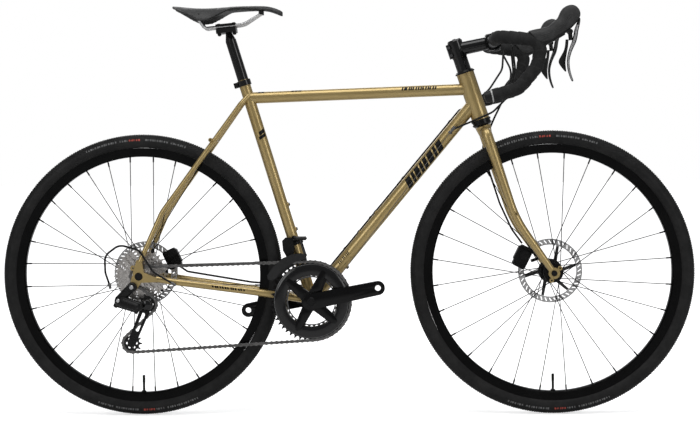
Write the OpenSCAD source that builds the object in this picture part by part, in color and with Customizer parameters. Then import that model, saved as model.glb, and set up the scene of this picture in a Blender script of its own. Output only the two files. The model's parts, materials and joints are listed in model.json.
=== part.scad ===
// Road bicycle with a steel frame, disc brakes, drop bar and a two-by-eleven drivetrain.
// +X points forward, +Z up, and the drive side faces -Y. The origin is on the ground,
// midway between the two axles, in the bicycle's middle plane.

/* [Geometry] */
// Distance between the two axles
wheelbase = 1020; // [1010:1:1030]
// Height of the bottom bracket's axis over the ground
bb_height = 286; // [282:1:290]
// Distance of the bottom bracket behind the middle of the wheelbase
bb_setback = 86; // [84:1:88]
// Seat tube angle over the ground
seat_angle = 73.1; // [72.6:0.1:73.6]
// Length of the seat tube, from the bottom bracket's axis to its top
seat_tube_length = 574; // [560:1:590]
// Head tube angle over the ground
head_angle = 72; // [71.6:0.1:72.4]
// Length of the head tube
head_tube_length = 131; // [125:1:140]
// Distance of the front axle in front of the steering axis
fork_offset = 46.5; // [44:0.5:48]
// Distance from the head tube's lower end to the front axle, along the steering axis
fork_length = 404.5; // [400:0.5:408]

/* [Frame tubes] */
// Diameter of the seat tube and the top tube
slim_tube_d = 28.6; // [28.6:0.1:29.6]
// Diameter of the down tube
down_tube_d = 31.8; // [30:0.1:34]
// Diameter of the head tube
head_tube_d = 44; // [42:0.5:46]
// Diameter of the chainstays where they leave the bottom bracket
chainstay_d = 18; // [16:0.5:18]
// Diameter of the seatstays
seatstay_d = 13.5; // [12:0.5:14]

/* [Wheels] */
// Outer diameter of the tyres
tyre_od = 702; // [696:1:706]
// Width of the tyres
tyre_width = 38; // [34:1:40]
// Radius of the rim's outer edge
rim_edge_r = 317; // [316:0.5:318]
// Radius of the rim's inner face, where the spokes go in
rim_inner_r = 295; // [290:1:299]
// Outer width of the rim
rim_width = 24; // [22:0.5:26]
// Number of spokes in the front wheel
front_spokes_n = 28; // [24:4:32]
// Number of spokes in the rear wheel
rear_spokes_n = 32; // [28:4:36]
// Diameter of the brake rotors
rotor_d = 160; // [158:1:162]

/* [Drivetrain] */
// Length of the crank arms
crank_length = 167.5; // [160:0.5:175]
// Angle of the right crank arm over the horizontal, at rest
crank_angle = 11.2; // [0:0.1:20]
// Teeth on the outer chainring
big_ring_teeth = 48; // [46:1:48]
// Teeth on the inner chainring
small_ring_teeth = 32; // [30:1:34]
// Number of chain links
chain_links = 116; // [116:2:116]
// Distance between the two derailleur pulleys
cage_length = 104; // [100:1:108]

/* [Cockpit] */
// Length of the stem
stem_length = 89; // [85:1:105]
// Half the width of the handlebar, at the hoods
hood_y = 205; // [195:1:215]
// Diameter of the handlebar under the tape
bar_d = 23.8; // [23:0.1:24.2]
// Diameter of the taped handlebar
tape_d = 31; // [29:0.5:33]
// Diameter of the seatpost
seatpost_d = 27.2; // [27:0.1:27.2]

/* [Hidden] */
$fn = 64;

gold = [0.72, 0.64, 0.5];
black = [0.04, 0.04, 0.045];
dark = [0.12, 0.12, 0.13];
grey = [0.4, 0.4, 0.42];
silver = [0.72, 0.73, 0.74];
steel = [0.55, 0.56, 0.58];
pad_brown = [0.3, 0.28, 0.25];
slack = 0.05;           // running clearance on a radius
seam = 0.1;             // gap between faces that meet
through = 200;          // length of a cut that goes right through

// ---- places ----
tyre_r = tyre_od / 2;
axle_x = wheelbase / 2;
front_axle_p = [axle_x, tyre_r];
rear_axle_p = [-axle_x, tyre_r];
bb = [-bb_setback, bb_height];
bb_3d = [bb.x, 0, bb.y];
seat_dir = [-cos(seat_angle), 0, sin(seat_angle)];
seat_top = bb_3d + seat_tube_length * seat_dir;
steer_dir = [-cos(head_angle), 0, sin(head_angle)];
steer_fore = [sin(head_angle), 0, cos(head_angle)];
lower_cup = 10;          // height of the headset cup under the head tube
head_bottom = [axle_x, 0, tyre_r] - fork_offset * steer_fore + fork_length * steer_dir;
head_top = head_bottom + head_tube_length * steer_dir;
top_tube_rear = bb_3d + 527 * seat_dir;
top_tube_front = head_bottom + 89 * steer_dir;
down_tube_top = head_bottom + 55 * steer_dir;
down_dir = unit(down_tube_top - bb_3d);
down_normal = [-down_dir.z, 0, down_dir.x];

// ---- hubs: distances from the middle plane ----
front_old = 50;         // half the front hub's width
rear_old = 71;          // half the rear hub's width
dropout_t = 7;
axle_r = 6;
front_rotor_y = 38.6;
rear_rotor_y = 54.8;
rotor_t = 1.8;
pad_reach = 72;         // radius of the pads' middle
pad_gap = 0.4;
pad_t = 3.6;
lining_t = 2.2;
front_caliper_angle = 153;
rear_caliper_angle = 25;

// ---- drivetrain ----
chain_pitch = 12.7;
roller_r = 3.75;
pin_r = 1.8;
inner_gap = 1.1;        // half the space between the inner plates
plate_t = 0.75;
cog_teeth = [11, 12, 13, 14, 16, 18, 20, 22, 25, 28, 32];
cog_pitch = 3.74;
cog_t = 1.6;
top_cog_y = 66.2;       // the smallest cog, outboard on the drive side
big_ring_y = 48.2;
small_ring_y = 41;
ring_t = 1.8;
pulley_teeth = 11;
guide_p = [-490, 282];
crank_y = 66;

// ---- rear derailleur: the links turn about a slanted axis, and shift_path is the whole shift ----
link_fall = 32;
link_side = unit([0.853, 0, -0.522]);
shift_path = [link_side.z * link_fall, top_cog_y - 28.8, -link_side.x * link_fall];
rd_axis = unit(cross(link_side, shift_path));
link_length = 58;
link_half_swing = asin(norm(shift_path) / 2 / link_length);
link_vec = link_length * cos(link_half_swing) * link_side - shift_path / 2;
link_gap = 15 * unit(shift_path);
p_outer = [guide_p.x - 17, -96, guide_p.y - 3];
p_inner = p_outer + link_gap;
b_outer = p_outer - link_vec;
b_inner = p_inner - link_vec;
hanger_p = [-526, 325.5];
link_width = 16;
ear_t = 2.6;

// ---- helpers ----
function unit(v) = v / norm(v);
function on_circle(r, a) = [r * cos(a), r * sin(a)];
function smooth(t) = t * t * (3 - 2 * t);
// The same with flat ends, so that the chain meets each sprocket straight.
function smoother(t) = t * t * t * (t * (6 * t - 15) + 10);
function mix(a, b, t) = a + (b - a) * t;
function dot(a, b) = max(-1, min(1, a * b));

// The side view: local x is forward, local y is up and local z points to the drive side.
module side(p) {
    translate([p.x, 0, p.y]) rotate([90, 0, 0]) children();
}

module both_sides() {
    children();
    mirror([0, 1, 0]) children();
}

module steering() {
    translate(head_bottom) rotate([0, head_angle - 90, 0]) children();
}

module seat_line(distance) {
    translate(bb_3d + distance * seat_dir) rotate([0, seat_angle - 90, 0]) children();
}

// A frame with local z along z_dir and local x as near x_dir as it can be.
module aimed(origin, z_dir, x_dir) {
    z = unit(z_dir);
    y = unit(cross(z, x_dir));
    x = cross(y, z);
    multmatrix([
        [x.x, y.x, z.x, origin.x],
        [x.y, y.y, z.y, origin.y],
        [x.z, y.z, z.z, origin.z],
        [0, 0, 0, 1]
    ]) children();
}

module rod(a, b, r1, r2 = undef) {
    v = b - a;
    far_r = is_undef(r2) ? r1 : r2;
    translate(a) rotate([0, acos(dot(v / norm(v), [0, 0, 1])), atan2(v.y, v.x)])
        cylinder(h = norm(v), r1 = r1, r2 = far_r);
}

module bend(corner, d1, d2, bend_r, r) {
    angle = acos(dot(d1, d2));
    inward = unit(d2 - d1 * (d1 * d2));
    centre = corner - d1 * bend_r * tan(angle / 2) + inward * bend_r;
    aimed(centre, cross(-inward, d1), -inward)
        rotate_extrude(angle = angle) translate([bend_r, 0]) circle(r = r);
}

// A round tube along straight runs joined by true arcs. Each point has its own radius.
// A bend is a hair thicker than its runs and they reach a little into it, so that they join soundly.
lap = 0.3;
step = 0.1;
module bent_tube(points, bends, radii) {
    last = len(points) - 1;
    dirs = [for (i = [0:last - 1]) unit(points[i + 1] - points[i])];
    turn = [for (i = [0:last]) i == 0 || i == last ? 0 : acos(dot(dirs[i - 1], dirs[i]))];
    cut = [for (i = [0:last]) turn[i] < 0.1 ? 0 : bends[i - 1] * tan(turn[i] / 2) - lap];
    for (i = [0:last - 1])
        rod(points[i] + dirs[i] * cut[i], points[i + 1] - dirs[i] * cut[i + 1], radii[i], radii[i + 1]);
    for (i = [1:1:last - 1])
        if (turn[i] < 0.1)
            rod(points[i] - dirs[i] * lap, points[i] + dirs[i] * lap, radii[i] + step);
        else
            bend(points[i], dirs[i - 1], dirs[i], bends[i - 1], radii[i] + step);
}

module ring(r_out, r_in, t) {
    difference() {
        cylinder(h = t, r = r_out, center = true);
        cylinder(h = t + 2, r = r_in, center = true);
    }
}

// An outline round two circles, from (0, 0) to (length, 0). Its straight sides run a hair inside
// their common tangents, so that they cross the circles cleanly.
module tapered_bar(length, r1, r2) {
    circle(r = r1);
    translate([length, 0]) circle(r = r2);
    polygon([[0, 0.99 * r1], [0, -0.99 * r1], [length, -0.99 * r2], [length, 0.99 * r2]]);
}

module rounded_rect(w, h, r) {
    square([w - 2 * r, h], center = true);
    square([w, h - 2 * r], center = true);
    for (x = [-1, 1], y = [-1, 1])
        translate([x * (w / 2 - r), y * (h / 2 - r)]) circle(r = r, $fn = 32);
}

// A closed skin through equal rings of points.
module skin(rings) {
    n = len(rings[0]);
    last = len(rings) - 1;
    polyhedron(
        points = [for (one = rings) each one],
        faces = concat(
            [[for (j = [n - 1:-1:0]) j]],
            [for (i = [0:last - 1], j = [0:n - 1]) let (k = (j + 1) % n)
                [i * n + j, i * n + k, (i + 1) * n + k, (i + 1) * n + j]],
            [[for (j = [0:n - 1]) last * n + j]]
        )
    );
}

// One ring of a skin: a rounded cross-section around a centre, in the plane of two directions.
function loop(centre, u, v, ru, rv, square_power = 1, steps = 16) =
    [for (i = [0:steps - 1]) let (a = i * 360 / steps, c = cos(a), s = sin(a))
        centre + u * ru * sign(c) * pow(abs(c), square_power) + v * rv * sign(s) * pow(abs(s), square_power)];

// ---- chain path ----
function pitch_r(teeth) = chain_pitch / 2 / sin(180 / teeth);

// A sprocket is [centre, teeth, sense of turning, distance from the middle plane].
function loop_sprockets(cage_angle) = [
    [bb, big_ring_teeth, 1, big_ring_y],
    [rear_axle_p, cog_teeth[0], 1, top_cog_y],
    [guide_p, pulley_teeth, -1, top_cog_y],
    [guide_p + on_circle(cage_length, cage_angle), pulley_teeth, 1, top_cog_y]
];
function heading(a, b) = let (d = b[0] - a[0])
    atan2(d.y, d.x) + asin((a[2] * pitch_r(a[1]) - b[2] * pitch_r(b[1])) / norm(d));
function touch(s, tau) = s[0] + s[2] * pitch_r(s[1]) * [sin(tau), -cos(tau)];
function wrap(s, tau_in, tau_out) = let (a = s[2] * (tau_out - tau_in)) a - 360 * floor(a / 360);
function headings(sp) = [for (i = [0:3]) heading(sp[i], sp[(i + 1) % 4])];
// Lengths in pitches: run 0, wrap 1, run 1, wrap 2, run 2, wrap 3, run 3, wrap 0.
function stretches(sp) = let (tau = headings(sp)) [for (i = [0:3]) let (j = (i + 1) % 4) each [
    norm(touch(sp[j], tau[i]) - touch(sp[i], tau[i])) / chain_pitch,
    wrap(sp[j], tau[i], tau[j]) * sp[j][1] / 360
]];
function sum(v, n) = n == 0 ? 0 : v[n - 1] + sum(v, n - 1);
function loop_length(angle) = sum(stretches(loop_sprockets(angle)), 8);
function tensioned(low, high, steps) = let (mid = (low + high) / 2)
    steps == 0 ? mid
    : loop_length(mid) > chain_links ? tensioned(mid, high, steps - 1)
    : tensioned(low, mid, steps - 1);

cage_angle = tensioned(225, 262, 40);
sprockets = loop_sprockets(cage_angle);
tension_p = sprockets[3][0];
taus = headings(sprockets);
lengths = stretches(sprockets);
starts = [for (i = [0:8]) sum(lengths, i)];

function stretch_of(u) = len([for (i = [1:7]) if (u >= starts[i]) 1]);
function chain_point(u) = let (
        k = stretch_of(u),
        i = floor(k / 2),
        j = (i + 1) % 4,
        t = (u - starts[k]) / lengths[k],
        a = sprockets[i],
        b = sprockets[j],
        flat = k % 2 == 0 ? mix(touch(a, taus[i]), touch(b, taus[i]), t)
            : touch(b, taus[i] + b[2] * (u - starts[k]) * 360 / b[1]),
        lateral = k % 2 == 0 ? mix(a[3], b[3], smoother(t)) : b[3]
    ) [flat.x, -lateral, flat.y];
// The angle of one tooth gap of sprocket j, so that the rollers sit in the gaps.
function gap_angle(j) = let (i = (j + 3) % 4, u0 = starts[2 * i + 1], s = sprockets[j][2])
    taus[i] + s * (ceil(u0) - u0) * 360 / sprockets[j][1] - s * 90;

// ---- sprockets ----
module sprocket_outline(teeth, phase) {
    r = pitch_r(teeth);
    seat_r = roller_r + 0.36;
    tip_r = r + 3.4;
    tip_half = 1.1;
    polygon([for (i = [0:teeth - 1]) let (a = phase + i * 360 / teeth) each concat(
        [for (b = [55, 18, -18, -55]) on_circle(r, a) + on_circle(seat_r, a + 180 + b)],
        [for (side = [-1, 1]) on_circle(tip_r, a + 180 / teeth + side * tip_half / tip_r * 57.3)]
    )]);
}

module sprocket(teeth, phase, inner_r, t) {
    linear_extrude(height = t, center = true) difference() {
        sprocket_outline(teeth, phase);
        circle(r = inner_r);
    }
}

// ---- frame ----
stay_front_y = 24;
stay_end = [-468, 67.5];
seatstay_end = [-507, 76, 386];

module rear_triangle() {
    bent_tube(
        [
            [bb.x - 6, stay_front_y - 8, bb.y], [-230, 36, 309],
            [-420, 66, 336], [stay_end.x, stay_end.y + 1, 344]
        ],
        [200, 90],
        [chainstay_d / 2, chainstay_d / 2, 8, 7.5]
    );
    bent_tube(
        [[-238, 8, 797], [-258, 17, 775], [-452, 60, 508], seatstay_end],
        [30, 90],
        [seatstay_d / 2, seatstay_d / 2, seatstay_d / 2, 6.5]
    );
    rear_dropout();
}

// The plate that holds the wheel, with a fender and rack eyelet behind the axle.
module rear_dropout() {
    outline = [
        [-464, 347], [-464, 337], [-500, 336], [-522, 343],
        [-525, 358], [-515, 391], [-502, 391], [-497, 361]
    ];
    translate([0, rear_old + 0.2 + dropout_t, 0]) rotate([90, 0, 0]) linear_extrude(height = dropout_t) {
        polygon(outline);
        translate(rear_axle_p) circle(r = 15);
        translate([-524, 372]) circle(r = 6.5);
    }
}

module hanger() {
    hub_side = rear_old + 0.2;
    side([0, 0]) translate([0, 0, hub_side]) linear_extrude(height = dropout_t) {
        translate(hanger_p) circle(r = 9);
        polygon([[-500, 342], [-516, 318], [-535, 325], [-526, 352]]);
    }
}

bottle_on_seat = [180, 244];
bottle_on_down = [205, 269];
under_down = 118;
// Each bottle bolt's place on a tube's surface, with z pointing out of the tube.
module bottle_depths() {
    for (d = bottle_on_seat) seat_line(d) rotate([0, 90, 0]) translate([0, 0, slim_tube_d / 2]) children();
    for (d = bottle_on_down)
        aimed(bb_3d + d * down_dir, down_normal, down_dir) translate([0, 0, down_tube_d / 2]) children();
    aimed(bb_3d + under_down * down_dir, -down_normal, down_dir)
        translate([0, 0, down_tube_d / 2]) children();
}

module frame() {
    color(gold) difference() {
        union() {
            rod(bb_3d, seat_top, slim_tube_d / 2);
            rod(head_bottom + lower_cup * steer_dir, head_top, head_tube_d / 2);
            rod(top_tube_rear, top_tube_front, slim_tube_d / 2);
            rod(bb_3d, down_tube_top, down_tube_d / 2);
            side(bb) cylinder(h = 68, r = 20.5, center = true);
            both_sides() rear_triangle();
            rod([-140, -29, 297.5], [-140, 29, 297.5], 7);
            rod([-322, -30, 687], [-322, 30, 687], 6);
            hanger();
            bottle_depths() translate([0, 0, -3]) cylinder(h = 4.5, r = 5.5);
            // guides for the shift cables behind the head tube
            both_sides()
                rod(down_tube_top - 88 * down_dir + [0, 14, 0], down_tube_top - 96 * down_dir + [0, 23, 0], 4);
            // rack bosses on the seatstays
            both_sides() rod([-333, 33, 686], [-333, 43.2, 686], 5);
        }
        rod(bb_3d, seat_top + 5 * seat_dir, seatpost_d / 2 + slack);
        rod(head_bottom - 5 * steer_dir, head_top + 5 * steer_dir, 17);
        rod(top_tube_rear, top_tube_front, slim_tube_d / 2 - 1);
        rod(bb_3d, down_tube_top, down_tube_d / 2 - 1);
        side(bb) cylinder(h = through, r = 17.5, center = true);
        side(rear_axle_p) cylinder(h = through, r = axle_r + slack, center = true);
        side(hanger_p) cylinder(h = through, r = 5.05, center = true);
        both_sides() translate([-524, rear_old - 1, 372]) rotate([-90, 0, 0]) cylinder(h = 12, r = 2.5);
        both_sides() translate([-333, 35, 686]) rotate([-90, 0, 0]) cylinder(h = 12, r = 2.5);
        bottle_depths() translate([0, 0, -8]) cylinder(h = 12, r = 2.55);
        seat_line(seat_tube_length - 18) rotate([0, -90, 0]) translate([0, 0, 8]) linear_extrude(height = 10)
            square([40, 2], center = true);
    }
}

module bottle_bolts() {
    color(dark) bottle_depths() {
        translate([0, 0, -7]) cylinder(h = 8.5 + seam, r = 2.5);
        translate([0, 0, 1.5 + seam]) difference() {
            cylinder(h = 3, r = 4);
            translate([0, 0, 1]) cylinder(h = 3, r = 2, $fn = 6);
        }
    }
}

module seat_collar() {
    r_in = slim_tube_d / 2 + slack;
    color(black) seat_line(seat_tube_length - 15) {
        difference() {
            union() {
                cylinder(h = 14, r = r_in + 3);
                translate([-r_in - 6, 0, 7]) cube([11, 16, 13], center = true);
            }
            translate([0, 0, -1]) cylinder(h = 20, r = r_in);
            translate([-r_in - 7, 0, 7]) cube([16, 1.6, 20], center = true);
            translate([-r_in - 7, 0, 7]) rotate([90, 0, 0]) cylinder(h = 30, r = 2.55, center = true);
        }
        translate([-r_in - 7, 0, 7]) rotate([90, 0, 0]) {
            cylinder(h = 18, r = 2.5, center = true);
            translate([0, 0, 8 + seam]) cylinder(h = 4, r = 4.2);
            translate([0, 0, -9 - seam]) cylinder(h = 1, r = 4);
        }
    }
}

cup_r = 24.5;
module headset() {
    color(black) steering() {
        for (end = [0, 1])
            translate([0, 0, end * head_tube_length]) rotate([180 * (1 - end), 0, 0]) difference() {
                union() {
                    translate([0, 0, seam]) cylinder(h = 2.5, r = cup_r);
                    translate([0, 0, 2.5]) cylinder(h = 4.6, r1 = cup_r, r2 = 20);
                    translate([0, 0, -20]) cylinder(h = 21, r = 17 - slack / 2);
                }
                translate([0, 0, -22]) cylinder(h = 40, r = 15.5);
                cylinder(h = 30, r = 16);
            }
        // the lower cup's body, with a groove between its two rims
        difference() {
            union() {
                translate([0, 0, -0.5]) cylinder(h = lower_cup + 0.5 - seam, r = cup_r - 2);
                translate([0, 0, lower_cup - 5]) cylinder(h = 5 - seam, r = cup_r);
            }
            translate([0, 0, -1]) cylinder(h = 20, r = 16.5);
        }
    }
    color(silver) steering() for (z = [-7, head_tube_length + 1])
        translate([0, 0, z]) difference() {
            cylinder(h = 6, r = 16 - slack);
            translate([0, 0, -1]) cylinder(h = 8, r = 14.3 + slack);
        }
}

spindle_r = 12;
module bottom_bracket() {
    color(black) side(bb) for (s = [-1, 1]) {
        translate([0, 0, s * 39.2]) ring(22, 18, 10);
        translate([0, 0, s * 30]) ring(17.5 - slack / 2, 15.6, 20);
        translate([0, 0, s * 34.6]) ring(18.6, 15.6, 0.8);
    }
    color(silver) side(bb) for (s = [-1, 1])
        translate([0, 0, s * 40.2]) ring(18 - slack, spindle_r + slack, 7);
}

module rear_axle() {
    color(black) side(rear_axle_p) thru_axle(rear_old + dropout_t + 0.2, 10);
}

// A thru-axle with a flat head on the left and a round cap on the right.
module thru_axle(half_span, cap_r) {
    cylinder(h = 2 * half_span + 1, r = axle_r, center = true);
    translate([0, 0, half_span + seam]) cylinder(h = 3, r1 = cap_r, r2 = cap_r - 1.5);
    translate([0, 0, -half_span - 4 - seam]) difference() {
        cylinder(h = 4, r = 10);
        translate([0, 0, -1]) cylinder(h = 4, r = 3, $fn = 6);
    }
}

// ---- brake caliper: local x runs round the rotor, local y away from the wheel's axis ----
caliper_t = 26;
pad_pocket = [21, 21];
module caliper(low) {
    difference() {
        union() {
            linear_extrude(height = caliper_t, center = true) {
                translate([(28 + low) / 2, 5]) rounded_rect(28 - low, 34, 6);
                translate([4, 14]) rounded_rect(40, 22, 6);
            }
            translate([6, 4, 0]) cylinder(h = caliper_t + 6, r = 12, center = true);
        }
        cube([120, 32, rotor_t + 3], center = true);
        translate([0, -2, 0]) cube([pad_pocket.x, pad_pocket.y + 14, 2 * (rotor_t / 2 + pad_gap + pad_t) + 0.8],
            center = true);
    }
}

module caliper_at(hub, angle, y) {
    side(hub) rotate([0, 0, angle]) translate([pad_reach, 0, -y]) rotate([0, 0, -90]) children();
}

module rear_caliper() {
    color(dark) {
        caliper_at(rear_axle_p, rear_caliper_angle, rear_rotor_y) rotate([0, 180, 0]) caliper(-22);
        // the mounting feet, bolted into the chainstay
        for (x = [-458, -434]) rod([x, 64, 372], [x, 67, 346], 4);
    }
}

module front_caliper() {
    color(dark) {
        caliper_at(front_axle_p, front_caliper_angle, front_rotor_y) caliper(-28);
        // the mounting feet, bolted into the fork leg
        steering() for (z = [-fork_length + 37, -fork_length + 64])
            rod([10, 48, z], [52 + (-fork_length - z) * tan(leg_bend) - 7, 53, z], 4);
    }
}

// A pad on one side of a rotor: side_sign is 1 towards the drive side.
module brake_pad(hub, angle, y, side_sign) {
    rotor_face = rotor_t / 2 + pad_gap;
    caliper_at(hub, angle, y) translate([0, 0, side_sign * rotor_face])
        rotate([side_sign > 0 ? 0 : 180, 0, 0]) {
        color(pad_brown) linear_extrude(height = lining_t) rounded_rect(17, 16, 3);
        color(silver) translate([0, 0, lining_t])
            linear_extrude(height = pad_t - lining_t) rounded_rect(19, 18, 3);
    }
}
module front_pad_left() { brake_pad(front_axle_p, front_caliper_angle, front_rotor_y, -1); }
module front_pad_right() { brake_pad(front_axle_p, front_caliper_angle, front_rotor_y, 1); }
module rear_pad_left() { brake_pad(rear_axle_p, rear_caliper_angle, rear_rotor_y, -1); }
module rear_pad_right() { brake_pad(rear_axle_p, rear_caliper_angle, rear_rotor_y, 1); }

// ---- rear derailleur ----
module link_pins(p, from, to) {
    for (q = p) rod(q + from * rd_axis, q + to * rd_axis, 2.5);
}

// One ear plate across both pivots, level along the pivots' axis.
module ear(p, level) {
    span = p[1] - p[0];
    aimed(p[0] + level * rd_axis, rd_axis, span)
        linear_extrude(height = ear_t) tapered_bar(norm(span), 5.5, 5.5);
}

module ears(p) {
    low = -link_width / 2 - seam - ear_t;
    high = link_width / 2 + seam;
    ear(p, low);
    ear(p, high);
    link_pins(p, low, high + ear_t);
}

module rd_link(from, to) {
    aimed(from, rd_axis, to - from) linear_extrude(height = link_width, center = true) difference() {
        tapered_bar(norm(to - from), 5.2, 5.2);
        for (x = [0, norm(to - from)]) translate([x, 0]) circle(r = 2.5 + slack);
    }
}

module rd_mount() {
    high = link_width / 2 + seam + ear_t + 3.4;
    bolt_y = -rear_old - 0.2 - dropout_t;
    color(dark) {
        ears([b_outer, b_inner]);
        rod(b_outer + high * rd_axis, [hanger_p.x, bolt_y - 11, hanger_p.y], 4.5);
        side(hanger_p) translate([0, 0, -bolt_y + seam]) cylinder(h = 14, r = 9);
        side(hanger_p) translate([0, 0, -bolt_y - dropout_t]) cylinder(h = dropout_t + 2, r = 5);
    }
}

module rd_outer_link() { color(black) rd_link(b_outer, p_outer); }
module rd_inner_link() { color(dark) rd_link(b_inner, p_inner); }

cage_out = 70.4;
cage_in = 62;
module rd_p_knuckle() {
    high = link_width / 2 + seam + ear_t + 3.4;
    color(black) {
        ears([p_outer, p_inner]);
        rod(p_outer + high * rd_axis, [guide_p.x - 2, -80, guide_p.y + 1], 4.2);
        side(guide_p) translate([0, 0, 75.5]) cylinder(h = 8.5, r = 11);
        side(guide_p) translate([0, 0, cage_out + 2.2]) cylinder(h = 5, r = 4);
    }
}

module rd_cage() {
    reach = tension_p - guide_p;
    color(dark) side(guide_p) rotate([0, 0, atan2(reach.y, reach.x)]) {
        translate([0, 0, cage_out]) difference() {
            union() {
                linear_extrude(height = 2) difference() {
                    tapered_bar(norm(reach), 13, 10);
                    translate([48, 0]) rounded_rect(50, 9, 4);
                }
                cylinder(h = 4.8, r = 9);
            }
            translate([0, 0, 2.1]) cylinder(h = 5, r = 4 + slack);
        }
        translate([0, 0, cage_in - 2]) linear_extrude(height = 2) difference() {
            tapered_bar(norm(reach), 10, 10);
            translate([48, 0]) rounded_rect(50, 8, 3.6);
        }
        for (x = [0, norm(reach)])
            translate([x, 0, cage_in - 1]) cylinder(h = cage_out - cage_in + 2, r = 2.5);
    }
}

module pulley(j) {
    p = sprockets[j][0];
    side(p) translate([0, 0, top_cog_y]) {
        difference() {
            union() {
                sprocket(pulley_teeth, gap_angle(j), 2.5 + slack, 1.8);
                cylinder(h = cage_out - cage_in - 2 * seam, r = 6.5, center = true);
            }
            cylinder(h = 20, r = 2.5 + slack, center = true);
            for (a = [0:60:300]) rotate([0, 0, a])
                translate([11.5, 0, 0]) cylinder(h = 5, r = 3, center = true);
        }
    }
}
module rd_guide_pulley() { color(dark) pulley(2); }
module rd_tension_pulley() { color(dark) pulley(3); }

// ---- front derailleur ----
fd_clamp_at = 149;
fd_pivot = [-112, -30, 440];
module fd_mount() {
    color(dark) {
        seat_line(fd_clamp_at - 7) difference() {
            union() {
                cylinder(h = 14, r = slim_tube_d / 2 + 3.2);
                translate([slim_tube_d / 2 + 3, 0, 7]) cube([10, 12, 12], center = true);
            }
            translate([0, 0, -1]) cylinder(h = 20, r = slim_tube_d / 2 + slack);
            translate([slim_tube_d / 2 + 5, 0, 7]) cube([18, 1.6, 20], center = true);
        }
        difference() {
            rod([fd_pivot.x - 16, -16, 437], [fd_pivot.x - 16, -27, 440], 7);
            seat_line(fd_clamp_at - 20) cylinder(h = 40, r = slim_tube_d / 2 + 1);
            rod(fd_pivot - [30, 0, 0], fd_pivot + [30, 0, 0], 5 + seam);
        }
        rod(fd_pivot - [16, 0, 0], fd_pivot + [16, 0, 0], 2);
        rod(fd_pivot - [16, 0, 0], fd_pivot - [12, 0, 0], 6);
        // the body that carries the cable arm, behind the seat tube
        side(bb) translate([0, 0, 19]) linear_extrude(height = 13)
            polygon([[-72, 148], [-64, 156], [-46, 156], [-41, 128], [-45, 108], [-60, 106], [-70, 124]]);
    }
}

module cage_plate(tail, low_r) {
    difference() {
        polygon([[-10, 100], [-12, 113], [-24, 118], [-46, 116], [-70, 106], [-93, 86], [-108, 64], [-107, tail - 3],
            [-97, tail - 6]]);
        circle(r = low_r);
    }
}

module fd_cage() {
    color(silver) side(bb) {
        translate([0, 0, big_ring_y + 6.4]) linear_extrude(height = 1.5) cage_plate(58, 104.5);
        translate([0, 0, big_ring_y - 6.4]) linear_extrude(height = 1.5) cage_plate(56, 97);
        translate([-24, 111, big_ring_y - 6]) linear_extrude(height = 13) square([14, 5]);
        translate([-103, 61, big_ring_y - 6]) cylinder(h = 13, r = 3);
    }
    color(dark) {
        difference() {
            rod(fd_pivot - [11.8, 0, 0], fd_pivot + [14, 0, 0], 5);
            rod(fd_pivot - [18, 0, 0], fd_pivot + [18, 0, 0], 2 + slack);
        }
        rod(fd_pivot + [0, -2, -4.2], [-100, -43.4, bb.y + 113], 3.4);
    }
}

// ---- chain ----
module chain_link(i) {
    p = chain_point(i);
    q = chain_point((i + 1) % chain_links);
    length = norm(q - p);
    inner = i % 2 == 0;
    low = inner ? inner_gap : inner_gap + plate_t + seam;
    end_r = 4.1;
    along = (q - p) / length;
    aimed(p, [0, -1, 0] + along * along.y, along) {
        for (s = [-1, 1]) translate([0, 0, s * (low + plate_t / 2)])
            linear_extrude(height = plate_t, center = true) difference() {
                tapered_bar(length, end_r, end_r);
                if (inner) for (x = [0, length]) translate([x, 0]) circle(r = pin_r + slack);
            }
        for (x = [0, length]) translate([x, 0, 0])
            if (inner) ring(roller_r, pin_r + slack, 2 * inner_gap + 0.2);
            else cylinder(h = 2 * (low + plate_t), r = pin_r, center = true);
    }
}
module chain() { color(steel) for (i = [0:chain_links - 1]) chain_link(i); }

// ---- seat ----
post_head = 712;
rail_y = 22;
rail_r = 3.5;
rail_clamp = [-293.8, 969];
rail_tilt = 5;
clamp_bolts = [-19, 19];
function seat_point(d) = bb_3d + d * seat_dir;
module seatpost() {
    color(black) difference() {
        union() {
            rod(seat_point(seat_tube_length - 150), seat_point(post_head - 34), seatpost_d / 2);
            rod(seat_point(post_head - 34), seat_point(post_head - 9), seatpost_d / 2, 5.5);
            // the cradle under the rails
            side(rail_clamp) rotate([0, 0, rail_tilt])
                translate([0, -10.2, 0]) cube([50, 12, 54], center = true);
        }
        rod(seat_point(seat_tube_length - 160), seat_point(post_head - 40), seatpost_d / 2 - 2);
        side(rail_clamp) rotate([0, 0, rail_tilt]) {
            for (z = [-rail_y, rail_y]) translate([0, 0, z]) rotate([0, 90, 0])
                cylinder(h = 60, r = rail_r + slack, center = true);
            for (x = clamp_bolts)
                translate([x, -20, 0]) rotate([90, 0, 0]) cylinder(h = 60, r = 2.7, center = true);
        }
    }
}

module saddle_clamp() {
    color(black) side(rail_clamp) rotate([0, 0, rail_tilt]) {
        difference() {
            translate([0, 3.2, 0]) cube([50, 6.4, 54], center = true);
            for (z = [-rail_y, rail_y]) translate([0, 0, z]) rotate([0, 90, 0])
                cylinder(h = 60, r = rail_r + slack, center = true);
            for (x = clamp_bolts)
                translate([x, 0, 0]) rotate([90, 0, 0]) cylinder(h = 60, r = 2.7, center = true);
        }
        for (x = clamp_bolts) translate([x, 0, 0]) rotate([90, 0, 0]) {
            translate([0, 0, -9]) cylinder(h = 31, r = 2.5);
            translate([0, 0, -9.5]) cylinder(h = 3, r = 4);
            translate([0, 0, 16.2 + seam]) cylinder(h = 4.5, r = 4.5);
        }
    }
}

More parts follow.
